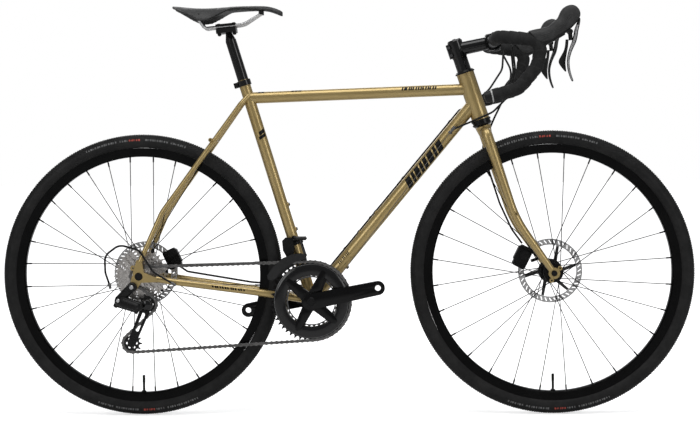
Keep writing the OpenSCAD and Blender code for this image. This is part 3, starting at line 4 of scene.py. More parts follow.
import bmesh
import bpy
from mathutils import Matrix, Vector
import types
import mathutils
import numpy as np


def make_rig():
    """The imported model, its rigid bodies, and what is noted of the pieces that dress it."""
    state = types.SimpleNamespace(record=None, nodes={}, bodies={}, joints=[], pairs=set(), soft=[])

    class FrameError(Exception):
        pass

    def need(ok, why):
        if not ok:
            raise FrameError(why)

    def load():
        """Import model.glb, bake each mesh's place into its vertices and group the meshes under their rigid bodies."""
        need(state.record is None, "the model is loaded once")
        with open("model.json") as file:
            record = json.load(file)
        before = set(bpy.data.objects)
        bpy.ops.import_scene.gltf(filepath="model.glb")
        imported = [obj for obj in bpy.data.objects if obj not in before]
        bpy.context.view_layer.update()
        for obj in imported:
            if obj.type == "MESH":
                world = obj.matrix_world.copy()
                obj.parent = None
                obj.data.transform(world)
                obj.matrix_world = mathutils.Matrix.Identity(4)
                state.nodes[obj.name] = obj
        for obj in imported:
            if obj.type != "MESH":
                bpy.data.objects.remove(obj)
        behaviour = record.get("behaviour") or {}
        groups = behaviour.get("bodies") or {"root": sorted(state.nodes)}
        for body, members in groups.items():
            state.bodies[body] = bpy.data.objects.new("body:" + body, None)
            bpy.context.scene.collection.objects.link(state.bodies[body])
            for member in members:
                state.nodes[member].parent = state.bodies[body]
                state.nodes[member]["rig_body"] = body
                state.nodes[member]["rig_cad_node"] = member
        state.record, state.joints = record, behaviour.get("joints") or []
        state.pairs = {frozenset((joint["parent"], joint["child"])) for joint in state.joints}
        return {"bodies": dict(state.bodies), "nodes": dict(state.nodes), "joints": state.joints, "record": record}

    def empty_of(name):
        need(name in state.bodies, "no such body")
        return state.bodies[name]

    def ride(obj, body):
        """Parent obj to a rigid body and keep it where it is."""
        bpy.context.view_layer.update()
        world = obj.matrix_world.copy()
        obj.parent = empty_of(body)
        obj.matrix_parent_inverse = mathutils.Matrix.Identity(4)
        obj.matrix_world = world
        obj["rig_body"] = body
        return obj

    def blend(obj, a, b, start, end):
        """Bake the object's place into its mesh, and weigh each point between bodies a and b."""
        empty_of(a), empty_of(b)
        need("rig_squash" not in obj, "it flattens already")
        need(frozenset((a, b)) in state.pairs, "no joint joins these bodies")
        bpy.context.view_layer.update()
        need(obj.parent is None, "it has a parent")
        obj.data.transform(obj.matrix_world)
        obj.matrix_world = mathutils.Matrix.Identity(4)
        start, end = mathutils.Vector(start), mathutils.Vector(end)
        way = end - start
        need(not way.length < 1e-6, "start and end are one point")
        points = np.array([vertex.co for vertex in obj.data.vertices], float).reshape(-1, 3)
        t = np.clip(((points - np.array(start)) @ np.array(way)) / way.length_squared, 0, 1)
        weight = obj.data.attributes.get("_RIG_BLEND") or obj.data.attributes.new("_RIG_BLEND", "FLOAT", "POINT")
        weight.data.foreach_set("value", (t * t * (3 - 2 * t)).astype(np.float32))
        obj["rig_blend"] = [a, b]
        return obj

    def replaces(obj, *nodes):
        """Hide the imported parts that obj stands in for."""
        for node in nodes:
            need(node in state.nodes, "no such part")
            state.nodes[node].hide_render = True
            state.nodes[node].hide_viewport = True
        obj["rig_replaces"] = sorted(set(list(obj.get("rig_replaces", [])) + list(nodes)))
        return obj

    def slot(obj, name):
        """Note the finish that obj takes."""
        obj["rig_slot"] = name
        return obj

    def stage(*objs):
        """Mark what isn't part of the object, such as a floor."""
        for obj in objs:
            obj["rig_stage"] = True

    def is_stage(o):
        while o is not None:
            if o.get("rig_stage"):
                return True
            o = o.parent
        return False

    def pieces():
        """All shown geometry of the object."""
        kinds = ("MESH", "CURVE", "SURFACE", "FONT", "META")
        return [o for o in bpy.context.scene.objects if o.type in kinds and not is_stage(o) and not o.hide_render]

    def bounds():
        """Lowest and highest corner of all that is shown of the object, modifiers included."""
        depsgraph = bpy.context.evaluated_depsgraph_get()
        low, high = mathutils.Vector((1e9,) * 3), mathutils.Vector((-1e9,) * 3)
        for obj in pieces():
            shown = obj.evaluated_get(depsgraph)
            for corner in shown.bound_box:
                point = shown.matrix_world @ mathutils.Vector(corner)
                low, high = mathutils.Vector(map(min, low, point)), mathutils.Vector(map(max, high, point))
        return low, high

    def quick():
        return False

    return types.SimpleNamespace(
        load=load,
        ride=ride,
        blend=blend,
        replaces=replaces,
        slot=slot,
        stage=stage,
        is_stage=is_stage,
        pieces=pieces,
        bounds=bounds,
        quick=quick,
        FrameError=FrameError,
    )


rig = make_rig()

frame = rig.load()
cad_low, cad_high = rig.bounds()

MM = 0.001
nodes = frame["nodes"]
joints = {j["name"]: j for j in frame["joints"]}


# -------- places from the frame
def joint_pos(name):
    return Vector(joints[name]["pos_m"])


def joint_axis(name):
    return Vector(joints[name]["axis"]).normalized()


def mm(x, y, z):
    return Vector((x, y, z)) * MM


def mm_list(*places):
    return [mm(*place) for place in places]


def in_metres(pairs):
    return [(a * MM, b * MM) for a, b in pairs]


def round_xy(degrees, radius=1.0):
    """The point at an angle on a circle round the origin."""
    return radius * math.cos(math.radians(degrees)), radius * math.sin(math.radians(degrees))


DRIVE = Vector((0, -1, 0))
LEFT = Vector((0, 1, 0))
UP = Vector((0, 0, 1))

BB = joint_pos("crank_spin")
REAR = joint_pos("rear_wheel_spin")
FRONT = joint_pos("front_wheel_spin")
GUIDE = joint_pos("rd_guide_spin")
TENSION = joint_pos("rd_tension_spin")
HEAD_LOW = joint_pos("steer")
STEER_AXIS = joint_axis("steer")


# -------- meshes
def new_object(name, data):
    obj = bpy.data.objects.new(name, data)
    bpy.context.scene.collection.objects.link(obj)
    return obj


def add_mesh(name, verts, faces, material, body=None, slot=None, smooth=True, sharp=35):
    mesh = bpy.data.meshes.new(name)
    mesh.from_pydata([tuple(v) for v in verts], [], [tuple(f) for f in faces])
    mesh.validate()
    cleaned = bmesh.new()
    cleaned.from_mesh(mesh)
    bmesh.ops.recalc_face_normals(cleaned, faces=cleaned.faces)
    cleaned.to_mesh(mesh)
    cleaned.free()
    obj = new_object(name, mesh)
    mesh.materials.append(material)
    if smooth:
        mesh.shade_smooth()
        mesh.set_sharp_from_angle(angle=math.radians(sharp))
    if body:
        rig.ride(obj, body)
    if slot:
        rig.slot(obj, slot)
    return obj


def loft(rings, closed=False):
    """Vertices and faces of a skin through rings of equally many points."""
    count = len(rings[0])
    verts = [p for ring in rings for p in ring]
    faces = []
    last = len(rings) if closed else len(rings) - 1
    for i in range(last):
        a, b = i * count, (i + 1) % len(rings) * count
        for j in range(count):
            k = (j + 1) % count
            faces.append((a + j, a + k, b + k, b + j))
    if not closed:
        faces.append(tuple(reversed(range(count))))
        faces.append(tuple(range((len(rings) - 1) * count, len(rings) * count)))
    return verts, faces


def merge(parts):
    verts, faces = [], []
    for v, f in parts:
        base = len(verts)
        verts += list(v)
        faces += [tuple(i + base for i in face) for face in f]
    return verts, faces


def rounded_path(points, bends, step=2 * MM):
    """A polyline through straight runs joined by true arcs, one bend radius for each inner point."""
    path = [points[0]]
    for i in range(1, len(points) - 1):
        before = (points[i] - points[i - 1]).normalized()
        after = (points[i + 1] - points[i]).normalized()
        turn = before.angle(after)
        if turn < 0.01:
            path.append(points[i])
            continue
        radius = bends[i - 1] * MM
        inward = (after - before * before.dot(after)).normalized()
        centre = points[i] - before * radius * math.tan(turn / 2) + inward * radius
        count = max(2, int(turn * radius / step))
        for k in range(count + 1):
            a = turn * k / count
            path.append(centre - inward * radius * math.cos(a) + before * radius * math.sin(a))
    path.append(points[-1])
    return resample(path, step)


def resample(path, step):
    lengths = [0.0]
    for a, b in zip(path, path[1:]):
        lengths.append(lengths[-1] + (b - a).length)
    count = max(2, round(lengths[-1] / step))
    out, k = [], 0
    for i in range(count + 1):
        s = lengths[-1] * i / count
        while k < len(path) - 2 and lengths[k + 1] < s:
            k += 1
        span = lengths[k + 1] - lengths[k]
        out.append(path[k].lerp(path[k + 1], (s - lengths[k]) / span if span > 0 else 0))
    return out


def tube(path, radius, sides=10, normal=LEFT):
    """A skin round a path that twists as little as possible.

    radius is a number, or a function of (distance along, angle).
    """
    rings, s = [], 0.0
    for i, p in enumerate(path):
        before = path[max(i - 1, 0)]
        tangent = (path[min(i + 1, len(path) - 1)] - before).normalized()
        normal = (normal - tangent * normal.dot(tangent)).normalized()
        across = tangent.cross(normal)
        s += (p - before).length
        ring = []
        for j in range(sides):
            a = 2 * math.pi * j / sides
            r = radius(s, a) if callable(radius) else radius
            ring.append(p + (normal * math.cos(a) + across * math.sin(a)) * r)
        rings.append(ring)
    return loft(rings)


def round_bar(a, b, r1, r2=None, sides=24, bevel=0.0):
    """A turned bar from a to b, with its end edges chamfered by bevel."""
    r2 = r1 if r2 is None else r2
    axis = (b - a).normalized()
    side = axis.orthogonal().normalized()
    up = axis.cross(side)
    stations = [(a, r1), (b, r2)]
    if bevel:
        stations = [(a, r1 - bevel), (a + axis * bevel, r1), (b - axis * bevel, r2), (b, r2 - bevel)]
    rings = []
    for p, r in stations:
        rings.append([p + (side * math.cos(t) + up * math.sin(t)) * r
                      for t in (2 * math.pi * j / sides for j in range(sides))])
    return loft(rings)


def lathe(profile, centre, axis, sides=96):
    """A closed outline of (radius, distance along the axis) turned all the way round."""
    axis = axis.normalized()
    side = axis.orthogonal().normalized()
    up = axis.cross(side)
    rings = []
    for j in range(sides):
        t = 2 * math.pi * j / sides
        out = side * math.cos(t) + up * math.sin(t)
        rings.append([centre + out * r + axis * h for r, h in profile])
    return loft(rings, closed=True)


def plate(outline, origin, x_dir, y_dir, thickness, bevel=0.0, holes=()):
    """An outline pulled up along x_dir x y_dir, with chamfered edges. Holes are outlines too."""
    up = x_dir.cross(y_dir).normalized()
    work = bmesh.new()
    edges = []
    for line in [outline] + list(holes):
        points = [work.verts.new(origin + x_dir * x + y_dir * y) for x, y in line]
        edges += [work.edges.new((points[i], points[(i + 1) % len(points)])) for i in range(len(points))]
    bmesh.ops.triangle_fill(work, use_beauty=True, use_dissolve=False, edges=edges, normal=up)
    faces = list(work.faces)
    pulled = bmesh.ops.extrude_face_region(work, geom=faces)
    moved = [e for e in pulled["geom"] if isinstance(e, bmesh.types.BMVert)]
    bmesh.ops.translate(work, verts=moved, vec=up * thickness)
    work.faces.ensure_lookup_table()
    bmesh.ops.recalc_face_normals(work, faces=work.faces)
    if bevel:
        rim = [e for e in work.edges if len(e.link_faces) == 2 and e.calc_face_angle(0) > 1.0
               and abs((e.verts[0].co - e.verts[1].co).normalized().dot(up)) < 0.5]
        bmesh.ops.bevel(work, geom=rim, offset=bevel, segments=2, affect="EDGES", profile=0.6,
                        clamp_overlap=True)
    work.verts.ensure_lookup_table()
    work.verts.index_update()
    verts = [v.co.copy() for v in work.verts]
    faces = [tuple(v.index for v in f.verts) for f in work.faces]
    work.free()
    return verts, faces


# -------- materials
def set_inputs(node, values):
    for key, value in values.items():
        node.inputs[key].default_value = value


class Shader:
    """A Principled material with a few helpers for procedural detail."""

    def __init__(self, name, rough, metal=0.0, coat=0.0, spec=0.5):
        self.material = bpy.data.materials.new(name)
        self.material.use_nodes = True
        self.tree = self.material.node_tree
        self.bsdf = next(n for n in self.tree.nodes if n.type == "BSDF_PRINCIPLED")
        set_inputs(self.bsdf, {"Roughness": rough, "Metallic": metal, "Coat Weight": coat,
                               "Coat Roughness": 0.08, "Specular IOR Level": spec})
        self.coords = self.add("ShaderNodeTexCoord").outputs["Object"]
        self.height = None

    def add(self, kind, **settings):
        node = self.tree.nodes.new(kind)
        for key, value in settings.items():
            setattr(node, key, value)
        return node

    def link(self, source, target):
        self.tree.links.new(source, target)

    def feed(self, value, target):
        """Sets an input to a number or a colour, or links another node's output to it."""
        if isinstance(value, tuple):
            target.default_value = (*value, 1.0)
        elif isinstance(value, (int, float)):
            target.default_value = value
        else:
            self.link(value, target)

    def math(self, operation, a, b=0.0):
        node = self.add("ShaderNodeMath", operation=operation)
        self.feed(a, node.inputs[0])
        self.feed(b, node.inputs[1])
        return node.outputs[0]

    def noise(self, scale, detail=3.0, stretch=None):
        node = self.add("ShaderNodeTexNoise")
        set_inputs(node, {"Scale": scale, "Detail": detail})
        source = self.coords
        if stretch:
            mapping = self.add("ShaderNodeMapping")
            mapping.inputs["Scale"].default_value = stretch
            self.link(source, mapping.inputs["Vector"])
            source = mapping.outputs[0]
        self.link(source, node.inputs["Vector"])
        return node.outputs["Fac"]

    def cells(self, scale, feature="F1"):
        node = self.add("ShaderNodeTexVoronoi", feature=feature)
        node.inputs["Scale"].default_value = scale
        self.link(self.coords, node.inputs["Vector"])
        return node.outputs["Distance"]

    def spread(self, value, low, high, to_low=0.0, to_high=1.0):
        node = self.add("ShaderNodeMapRange")
        self.link(value, node.inputs["Value"])
        set_inputs(node, {"From Min": low, "From Max": high, "To Min": to_low, "To Max": to_high})
        return node.outputs["Result"]

    def mix(self, factor, a, b):
        node = self.add("ShaderNodeMix", data_type="RGBA")
        self.feed(factor, node.inputs["Factor"])
        self.feed(a, node.inputs[6])
        self.feed(b, node.inputs[7])
        return node.outputs[2]

    def length(self, vector):
        node = self.add("ShaderNodeVectorMath", operation="LENGTH")
        self.link(vector, node.inputs[0])
        return node.outputs["Value"]

    def edges(self):
        """White on convex edges, where handling wears the finish."""
        pointiness = self.add("ShaderNodeNewGeometry").outputs["Pointiness"]
        return self.spread(pointiness, 0.505, 0.58)

    def clouds(self, scale, a, b, detail=4, low=0.35):
        """Two tones in soft patches."""
        return self.mix(self.spread(self.noise(scale, detail), low, 0.7), a, b)

    def colour(self, value):
        self.link(value, self.bsdf.inputs["Base Color"])

    def rough(self, scale, smoothest, roughest, detail=4):
        """Roughness that wanders between two values."""
        patches = self.spread(self.noise(scale, detail), 0.3, 0.7, smoothest, roughest)
        self.link(patches, self.bsdf.inputs["Roughness"])

    def bump(self, height, distance, strength=1.0):
        node = self.add("ShaderNodeBump")
        set_inputs(node, {"Strength": strength, "Distance": distance})
        self.link(height, node.inputs["Height"])
        if self.height is not None:
            self.link(self.height, node.inputs["Normal"])
        self.height = node.outputs["Normal"]
        self.link(self.height, self.bsdf.inputs["Normal"])


def grey(v, warm=0.0):
    return (v * (1 + warm), v, v * (1 - warm))


def make_paint():
    s = Shader("champagne_metallic_paint", 0.34, metal=0.7, coat=0.35)
    flakes = s.noise(2600, 2)
    cloud = s.noise(7, 2)
    base = s.mix(s.spread(cloud, 0.35, 0.65), (0.37, 0.268, 0.103), (0.42, 0.31, 0.128))
    s.colour(s.mix(s.spread(flakes, 0.45, 0.75, 0.0, 0.12), base, (0.55, 0.44, 0.23)))
    s.rough(60, 0.3, 0.38)
    return s.material


def make_black(name, shade, rough, metal=0.0, coat=0.0, grain=500, wear=0.05, spec=0.2):
    """Black alloy or plastic: fine grain, faint dust and slightly lighter edges."""
    s = Shader(name, rough, metal=metal, coat=coat, spec=spec)
    body = s.clouds(18, grey(shade), grey(shade * 1.6 + 0.001))
    s.colour(s.mix(s.math("MULTIPLY", s.edges(), wear * 4), body, grey(shade + wear)))
    s.rough(90, rough * 0.82, rough * 1.25, detail=5)
    s.bump(s.noise(grain, 3), 0.00008, 0.35)
    return s.material


def make_metal(name, shade, rough, stretch=(1, 1, 1), scale=700, warm=0.0, grime_and_painted_mottle=0.25):
    """Bare metal with brushing along one direction and darker patches at random. The patches are grime; set high, as
    on the cassette, they are also a painted mottle of highlights and shade.
    """
    s = Shader(name, rough, metal=1.0)
    brushed = s.noise(scale, 4, stretch)
    tone = s.clouds(35, grey(shade, warm), grey(shade * 0.78, warm), detail=5, low=0.3)
    # Random darker patches: grime, and where the amount is high a painted mottle of highlights and shade.
    s.colour(s.mix(s.spread(s.noise(160, 3), 0.52, 0.78, 0.0, grime_and_painted_mottle), tone, grey(shade * 0.3, 0.1)))
    s.link(s.spread(brushed, 0.25, 0.75, rough * 0.7, rough * 1.35), s.bsdf.inputs["Roughness"])
    s.bump(brushed, 0.00006, 0.5)
    return s.material


def make_tyre():
    s = Shader("tyre_rubber", 0.62, spec=0.18)
    dust = s.spread(s.noise(25, 5), 0.4, 0.75)
    s.colour(s.mix(dust, grey(0.008), grey(0.016, 0.02)))
    s.rough(120, 0.5, 0.72)
    s.bump(s.noise(1500, 4), 0.00012, 0.5)
    return s.material


def make_tape():
    """Matte foam tape: small dimples over a soft, slightly uneven skin."""
    s = Shader("bar_tape_foam", 0.86, spec=0.28)
    pits = s.spread(s.cells(480), 0.0, 0.45)
    s.colour(s.clouds(45, grey(0.009), grey(0.018)))
    s.bump(pits, 0.00018, 0.5)
    s.bump(s.noise(240, 4), 0.00025, 0.35)
    return s.material


def make_hood():
    """Moulded rubber with a fine raised diamond grain."""
    s = Shader("hood_rubber", 0.66, spec=0.4)
    s.colour(s.clouds(60, grey(0.017), grey(0.03)))
    s.bump(s.spread(s.cells(330, "SMOOTH_F1"), 0.05, 0.5), 0.0002, 0.45)
    s.rough(40, 0.56, 0.76, detail=3)
    return s.material


def make_saddle():
    """Microfibre cover: leathery grain with a soft sheen."""
    s = Shader("saddle_cover_fabric", 0.58, spec=0.4)
    s.bsdf.inputs["Sheen Weight"].default_value = 0.15
    grain = s.cells(620)
    s.colour(s.clouds(30, grey(0.014), grey(0.026)))
    s.bump(s.spread(grain, 0.0, 0.5), 0.00016, 0.5)
    s.bump(s.noise(140, 4), 0.0002, 0.25)
    s.rough(70, 0.48, 0.68)
    return s.material


TRACK_R = 64 * MM


def make_rotor(name, centre):
    """Steel braking track, blackened towards the hub."""
    s = Shader(name, 0.3, metal=1.0)
    offset = s.add("ShaderNodeVectorMath", operation="SUBTRACT")
    s.link(s.coords, offset.inputs[0])
    offset.inputs[1].default_value = (centre.x, 0, centre.z)
    flat = s.add("ShaderNodeVectorMath", operation="MULTIPLY")
    s.link(offset.outputs[0], flat.inputs[0])
    flat.inputs[1].default_value = (1, 0, 1)
    radius = s.length(flat.outputs[0])
    rings = s.math("SINE", s.math("MULTIPLY", radius, 9000.0))
    track = s.spread(radius, TRACK_R - 0.5 * MM, TRACK_R + 0.5 * MM)
    steel = s.clouds(90, grey(0.60), grey(0.47, 0.02))
    s.colour(s.mix(track, grey(0.02), steel))
    s.link(s.spread(track, 0, 1, 0.2, 1.0), s.bsdf.inputs["Metallic"])
    s.rough(300, 0.22, 0.38)
    s.bump(rings, 0.00002, 0.4)
    return s.material


def make_film(name, dark, light, rough=0.42, spec=0.5):
    """A thin printed film, faintly uneven; the same skin also carries the painted highlight ring at the tape's end."""
    s = Shader(name, rough, spec=spec)
    s.colour(s.clouds(120, dark, light))
    s.bump(s.noise(900, 2), 0.00002, 0.3)
    return s.material


PAINT = make_paint()
GLOSS = make_black("black_gloss_alloy", 0.002, 0.14, coat=0.15, grain=900, wear=0.02, spec=0.35)
SATIN = make_black("black_satin_alloy", 0.003, 0.25, metal=0.1, wear=0.025, spec=0.22)
RIM = make_black("rim_gloss", 0.001, 0.13, grain=1200, wear=0.004, spec=0.13)
PLASTIC = make_black("black_plastic", 0.006, 0.42, grain=700, wear=0.03)
HOSE = make_black("hose_plastic", 0.003, 0.36, grain=1400, wear=0.02)
SPOKE = make_black("spoke_black", 0.002, 0.45, wear=0.004, spec=0.06)
CRANK = make_black("crank_black", 0.001, 0.12, wear=0.01, spec=0.22)
RAIL = make_metal("rail_satin_steel", 0.62, 0.33, stretch=(0.1, 1, 1))
# The cassette's strong dark and light patches are a painted mottle of highlights as well as grime.
COG = make_metal("cassette_steel", 0.62, 0.26, warm=0.05, grime_and_painted_mottle=0.75)
CAGE = make_black("derailleur_cage_black", 0.004, 0.18, wear=0.05, spec=0.35)
ALLOY = make_metal("hub_alloy", 0.66, 0.3)
CHAIN = make_metal("chain_steel", 0.16, 0.33, warm=0.02, grime_and_painted_mottle=0.5)
BOLT = make_metal("dark_bolt_steel", 0.16, 0.34, grime_and_painted_mottle=0.3)
BRIGHT = make_metal("polished_steel", 0.72, 0.18, grime_and_painted_mottle=0.1)
# Light grey metal for a painted reflection: the band of light seen along the glossy black lever blades.
LEVER_REFLECTION_PAINT = make_metal("lever_grey_coat", 0.42, 0.36, grime_and_painted_mottle=0.05)
PAD = make_metal("pad_compound", 0.2, 0.6, warm=0.08, grime_and_painted_mottle=0.5)
TYRE = make_tyre()
TAPE = make_tape()
HOOD = make_hood()
SADDLE = make_saddle()
DECAL = make_film("decal_film", grey(0.003), grey(0.006), 0.35, 0.15)
# Pale grey for a painted highlight: the bright line where the bar tape meets the plug.
TAPE_END_HIGHLIGHT = make_film("painted_highlight_film", (0.368, 0.368, 0.36), (0.46, 0.46, 0.45))
PRINT = make_film("tyre_print", grey(0.104), grey(0.13))
RED = make_film("red_film", (0.336, 0.04, 0.024), (0.42, 0.05, 0.03))


def dress_cad_nodes():
    """Gives every carried-over CAD node its procedural material."""
    finish = {
        "frame": PAINT, "fork": PAINT, "seat_collar": GLOSS, "bottle_bolts": BOLT, "fd_cage": CAGE,
        "seatpost": GLOSS, "saddle_rails": RAIL, "saddle_shell": PLASTIC, "lever_brackets": PLASTIC,
        "stem": GLOSS, "stem_faceplate": GLOSS, "stem_bolts": BOLT, "headset_spacers": GLOSS,
        "front_rim": RIM, "rear_rim": RIM, "front_spokes": SPOKE, "rear_spokes": SPOKE,
        "front_rotor": make_rotor("front_rotor_steel", FRONT),
        "rear_rotor": make_rotor("rear_rotor_steel", REAR),
        "freehub": ALLOY, "cassette": COG, "small_ring": BOLT, "rd_outer_link": GLOSS,
        "rd_guide_pulley": PLASTIC, "rd_tension_pulley": PLASTIC,
        "front_pad_left": PAD, "front_pad_right": PAD, "rear_pad_left": PAD, "rear_pad_right": PAD,
    }
    for name, obj in nodes.items():
        obj.data.materials.clear()
        obj.data.materials.append(finish.get(name, SATIN))
        obj.data.shade_smooth()
        obj.data.set_sharp_from_angle(angle=math.radians(32))


# -------- wheels
TYRE_R = 351 * MM
TYRE_HALF = 19.5 * MM
TREAD_H = 1.1 * MM
BEAD_R = 317.3 * MM
TUBE_R = TYRE_HALF - TREAD_H / 2
TUBE_CENTRE_R = TYRE_R - TREAD_H - TUBE_R
# Each row's angle from the tread's middle, and its knobs' size in millimetres.
KNOB_ROWS = ((0.0, 1.9), (0.24, 1.9), (0.48, 1.8), (0.72, 1.7), (0.95, 1.4), (1.15, 1.2))
KNOBS_AROUND = 190


def tyre_profile():
    """The carcass outline as (radius, distance from the wheel's plane), bead to bead."""
    outline = []
    steps = 40
    low = math.asin((BEAD_R - TUBE_CENTRE_R) / TUBE_R)
    for i in range(steps + 1):
        a = low + (math.pi - 2 * low) * i / steps
        moulded = 0.35 * MM if i in (7, 33) else 0.0
        outer = TUBE_R + moulded
        outline.append((TUBE_CENTRE_R + outer * math.sin(a), outer * math.cos(a)))
    inner = TUBE_R - 2.4 * MM
    for i in range(17):
        a = math.pi - low - (math.pi - 2 * low) * i / 16
        outline.append((max(TUBE_CENTRE_R + inner * math.sin(a), BEAD_R), inner * math.cos(a)))
    return outline


def on_tyre(wheel, across, around, height):
    """A point over the carcass: across is from the tread's middle, and around is round the wheel."""
    r = TUBE_CENTRE_R + (TUBE_R + height) * math.cos(across)
    y = (TUBE_R + height) * math.sin(across)
    return wheel + Vector((r * math.cos(around), y, r * math.sin(around)))


def tread_knob(across, around, size, wheel):
    """A small block that stands on the carcass."""
    corners = 6
    rings = []
    for h, scale in ((-0.3 * MM, 1.0), (TREAD_H * 0.75, 0.93), (TREAD_H, 0.75)):
        ring = []
        for k in range(corners):
            t = 2 * math.pi * k / corners
            a = across + size * scale * math.sin(t) / TUBE_R
            ring.append(on_tyre(wheel, a, around + size * scale * math.cos(t) / TYRE_R, h))
        rings.append(ring)
    return loft(rings)


def build_tyre(name, wheel, body, node):
    parts = [lathe(tyre_profile(), wheel, LEFT, 200)]
    for k, (across, size) in enumerate(KNOB_ROWS):
        for sign in ((1, -1) if across else (1,)):
            for i in range(KNOBS_AROUND):
                t = 2 * math.pi * (i + 0.5 * (k % 2)) / KNOBS_AROUND
                parts.append(tread_knob(sign * across, t, size * MM, wheel))
    obj = add_mesh(name, *merge(parts), TYRE, body, "tyre", sharp=50)
    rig.replaces(obj, node)


# -------- chain
PITCH = 12.7 * MM
RING_TEETH = 48
COG_TEETH = 11
PULLEY_TEETH = 11
RING_Y = -48.2 * MM
COG_Y = -66.2 * MM


def pitch_radius(teeth):
    return PITCH / 2 / math.sin(math.pi / teeth)


def chain_route():
    """The closed path of the chain's pins as a list of stretches (start, end, point function)."""
    wheels = [
        (BB, RING_TEETH, 1, RING_Y), (REAR, COG_TEETH, 1, COG_Y),
        (GUIDE, PULLEY_TEETH, -1, COG_Y), (TENSION, PULLEY_TEETH, 1, COG_Y),
    ]

    def heading(a, b):
        d = b[0] - a[0]
        ra, rb = pitch_radius(a[1]), pitch_radius(b[1])
        return math.atan2(d.z, d.x) + math.asin((a[2] * ra - b[2] * rb) / math.hypot(d.x, d.z))

    def touch(w, tau):
        r = pitch_radius(w[1]) * w[2]
        return Vector((w[0].x + r * math.sin(tau), w[3], w[0].z - r * math.cos(tau)))

    taus = [heading(wheels[i], wheels[(i + 1) % 4]) for i in range(4)]
    stretches, at = [], 0.0
    for i in range(4):
        a, b = wheels[i], wheels[(i + 1) % 4]
        p, q = touch(a, taus[i]), touch(b, taus[i])
        run = math.hypot(q.x - p.x, q.z - p.z) / PITCH

        def straight(t, p=p, q=q):
            point = p.lerp(q, t)
            point.y = p.y + (q.y - p.y) * t * t * (3 - 2 * t)
            return point
        stretches.append((at, at + run, straight))
        at += run
        after = taus[(i + 1) % 4]
        turn = b[2] * (after - taus[i])
        turn -= 2 * math.pi * math.floor(turn / (2 * math.pi))
        wrap = turn * b[1] / (2 * math.pi)

        def round_wheel(t, b=b, tau=taus[i], turn=turn):
            return touch(b, tau + b[2] * turn * t)
        stretches.append((at, at + wrap, round_wheel))
        at += wrap
    return stretches


ROUTE = chain_route()


def chain_point(u):
    u %= ROUTE[-1][1]
    for start, end, point in ROUTE:
        if u < end:
            return point((u - start) / (end - start))
    return ROUTE[-1][2](1.0)


def link_outline(length, end_r, waist):
    """A chain plate's outline: two round ends joined by a waist."""
    front = [round_xy(125 - 250 * i / 8, end_r) for i in range(9)]
    back = [round_xy(-55 - 250 * i / 8, end_r) for i in range(9)]
    return [(length + x, y) for x, y in front] + [(length / 2, -waist)] + back + [(length / 2, waist)]


def chain_link(i):
    p, q = chain_point(i), chain_point(i + 1)
    along = (q - p).normalized()
    out = (DRIVE + along * along.y).normalized()
    up = out.cross(along)
    length = (q - p).length
    inner = i % 2 == 0
    low = (1.15 if inner else 2.05) * MM
    thick = 0.75 * MM
    high = low + thick
    parts = []
    outline = link_outline(length, *((4.15 * MM, 2.9 * MM) if inner else (4.3 * MM, 2.6 * MM)))
    middle = length / 2
    for s in (-1, 1):
        rings = []
        for h, shrink in ((low, 0.93), (low + 0.12 * MM, 1.0), (high - 0.15 * MM, 1.0), (high, 0.93)):
            ring = []
            for x, y in outline:
                across = along * (middle + (x - middle) * (0.5 + shrink / 2))
                ring.append(p + across + up * y * shrink + out * s * h)
            rings.append(ring)
        parts.append(loft(rings))
    for x in (0, length):
        at = p + along * x
        if inner:
            parts.append(round_bar(at - out * low, at + out * low, 3.7 * MM, sides=14))
        else:
            tip = high + 0.25 * MM
            parts.append(round_bar(at - out * tip, at + out * tip, 1.8 * MM, sides=10, bevel=0.2 * MM))
    return merge(parts)


def chain_piece(name, first, last):
    """Links first to last - 1, each from its own pin to the next."""
    return add_mesh(name, *merge([chain_link(i) for i in range(first, last)]), CHAIN, None, "chain_steel")


def build_chain():
    """The chain in stretches. Those between the frame and the derailleur bend with its joints."""
    starts = [s[0] for s in ROUTE]
    cog_out, guide_in, guide_out = (round(starts[k]) for k in (2, 3, 4))
    cage_out = round(starts[6])
    ring_in = round(starts[7])
    middle = (cog_out + guide_in) // 2
    slack_end = cage_out + 12
    total = round(ROUTE[-1][1])

    top = merge([chain_link(i) for i in list(range(0, cog_out)) + list(range(ring_in, total))])
    upper = add_mesh("chain_upper", *top, CHAIN, "frame", "chain_steel")
    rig.replaces(upper, "chain")

    leaving = chain_piece("chain_to_link", cog_out, middle)
    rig.blend(leaving, "frame", "rd_outer_link", chain_point(cog_out), chain_point(middle))
    arriving = chain_piece("chain_to_guide", middle, guide_in)
    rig.blend(arriving, "rd_outer_link", "rd_knuckle", chain_point(middle), chain_point(guide_in))
    guide = chain_piece("chain_on_guide", guide_in, guide_out)
    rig.blend(guide, "rd_knuckle", "rd_cage", chain_point(guide_in), chain_point(guide_out))
    cage = chain_piece("chain_on_cage", guide_out, cage_out)
    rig.ride(cage, "rd_cage")
    slack = chain_piece("chain_slack", cage_out, slack_end)
    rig.blend(slack, "rd_knuckle", "rd_cage", chain_point(slack_end), chain_point(cage_out))
    # The lower run takes up the shift as a part of the outer link's own turn.
    lower = chain_piece("chain_lower", slack_end, ring_in)
    near, far = chain_point(slack_end), chain_point(ring_in)
    share = 0.312
    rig.blend(lower, "frame", "rd_outer_link", far, far + (near - far) / share)


# -------- cockpit
STEM_DIR = Vector((0.985, 0, 0.172)).normalized()
BAR = HEAD_LOW + STEER_AXIS * 195 * MM + STEM_DIR * 89 * MM
BAR_BENDS = (42, 24, 58, 55)
HOOD_Y = 205
SIDES = ((1, "left"), (-1, "right"))
WRAP_PITCH = 21 * MM


def bar_path(side):
    """The bar's centre line on one side, from the start of the tape round the drop to the end."""
    return rounded_path([
        BAR + mm(0, 84 * side, 0), BAR + mm(0, HOOD_Y * side, 0), mm(468, 206 * side, 911),
        mm(459, 208 * side, 852), mm(413, 210 * side, 797), mm(334, 213 * side, 777.5),
    ], BAR_BENDS, 1.5 * MM)


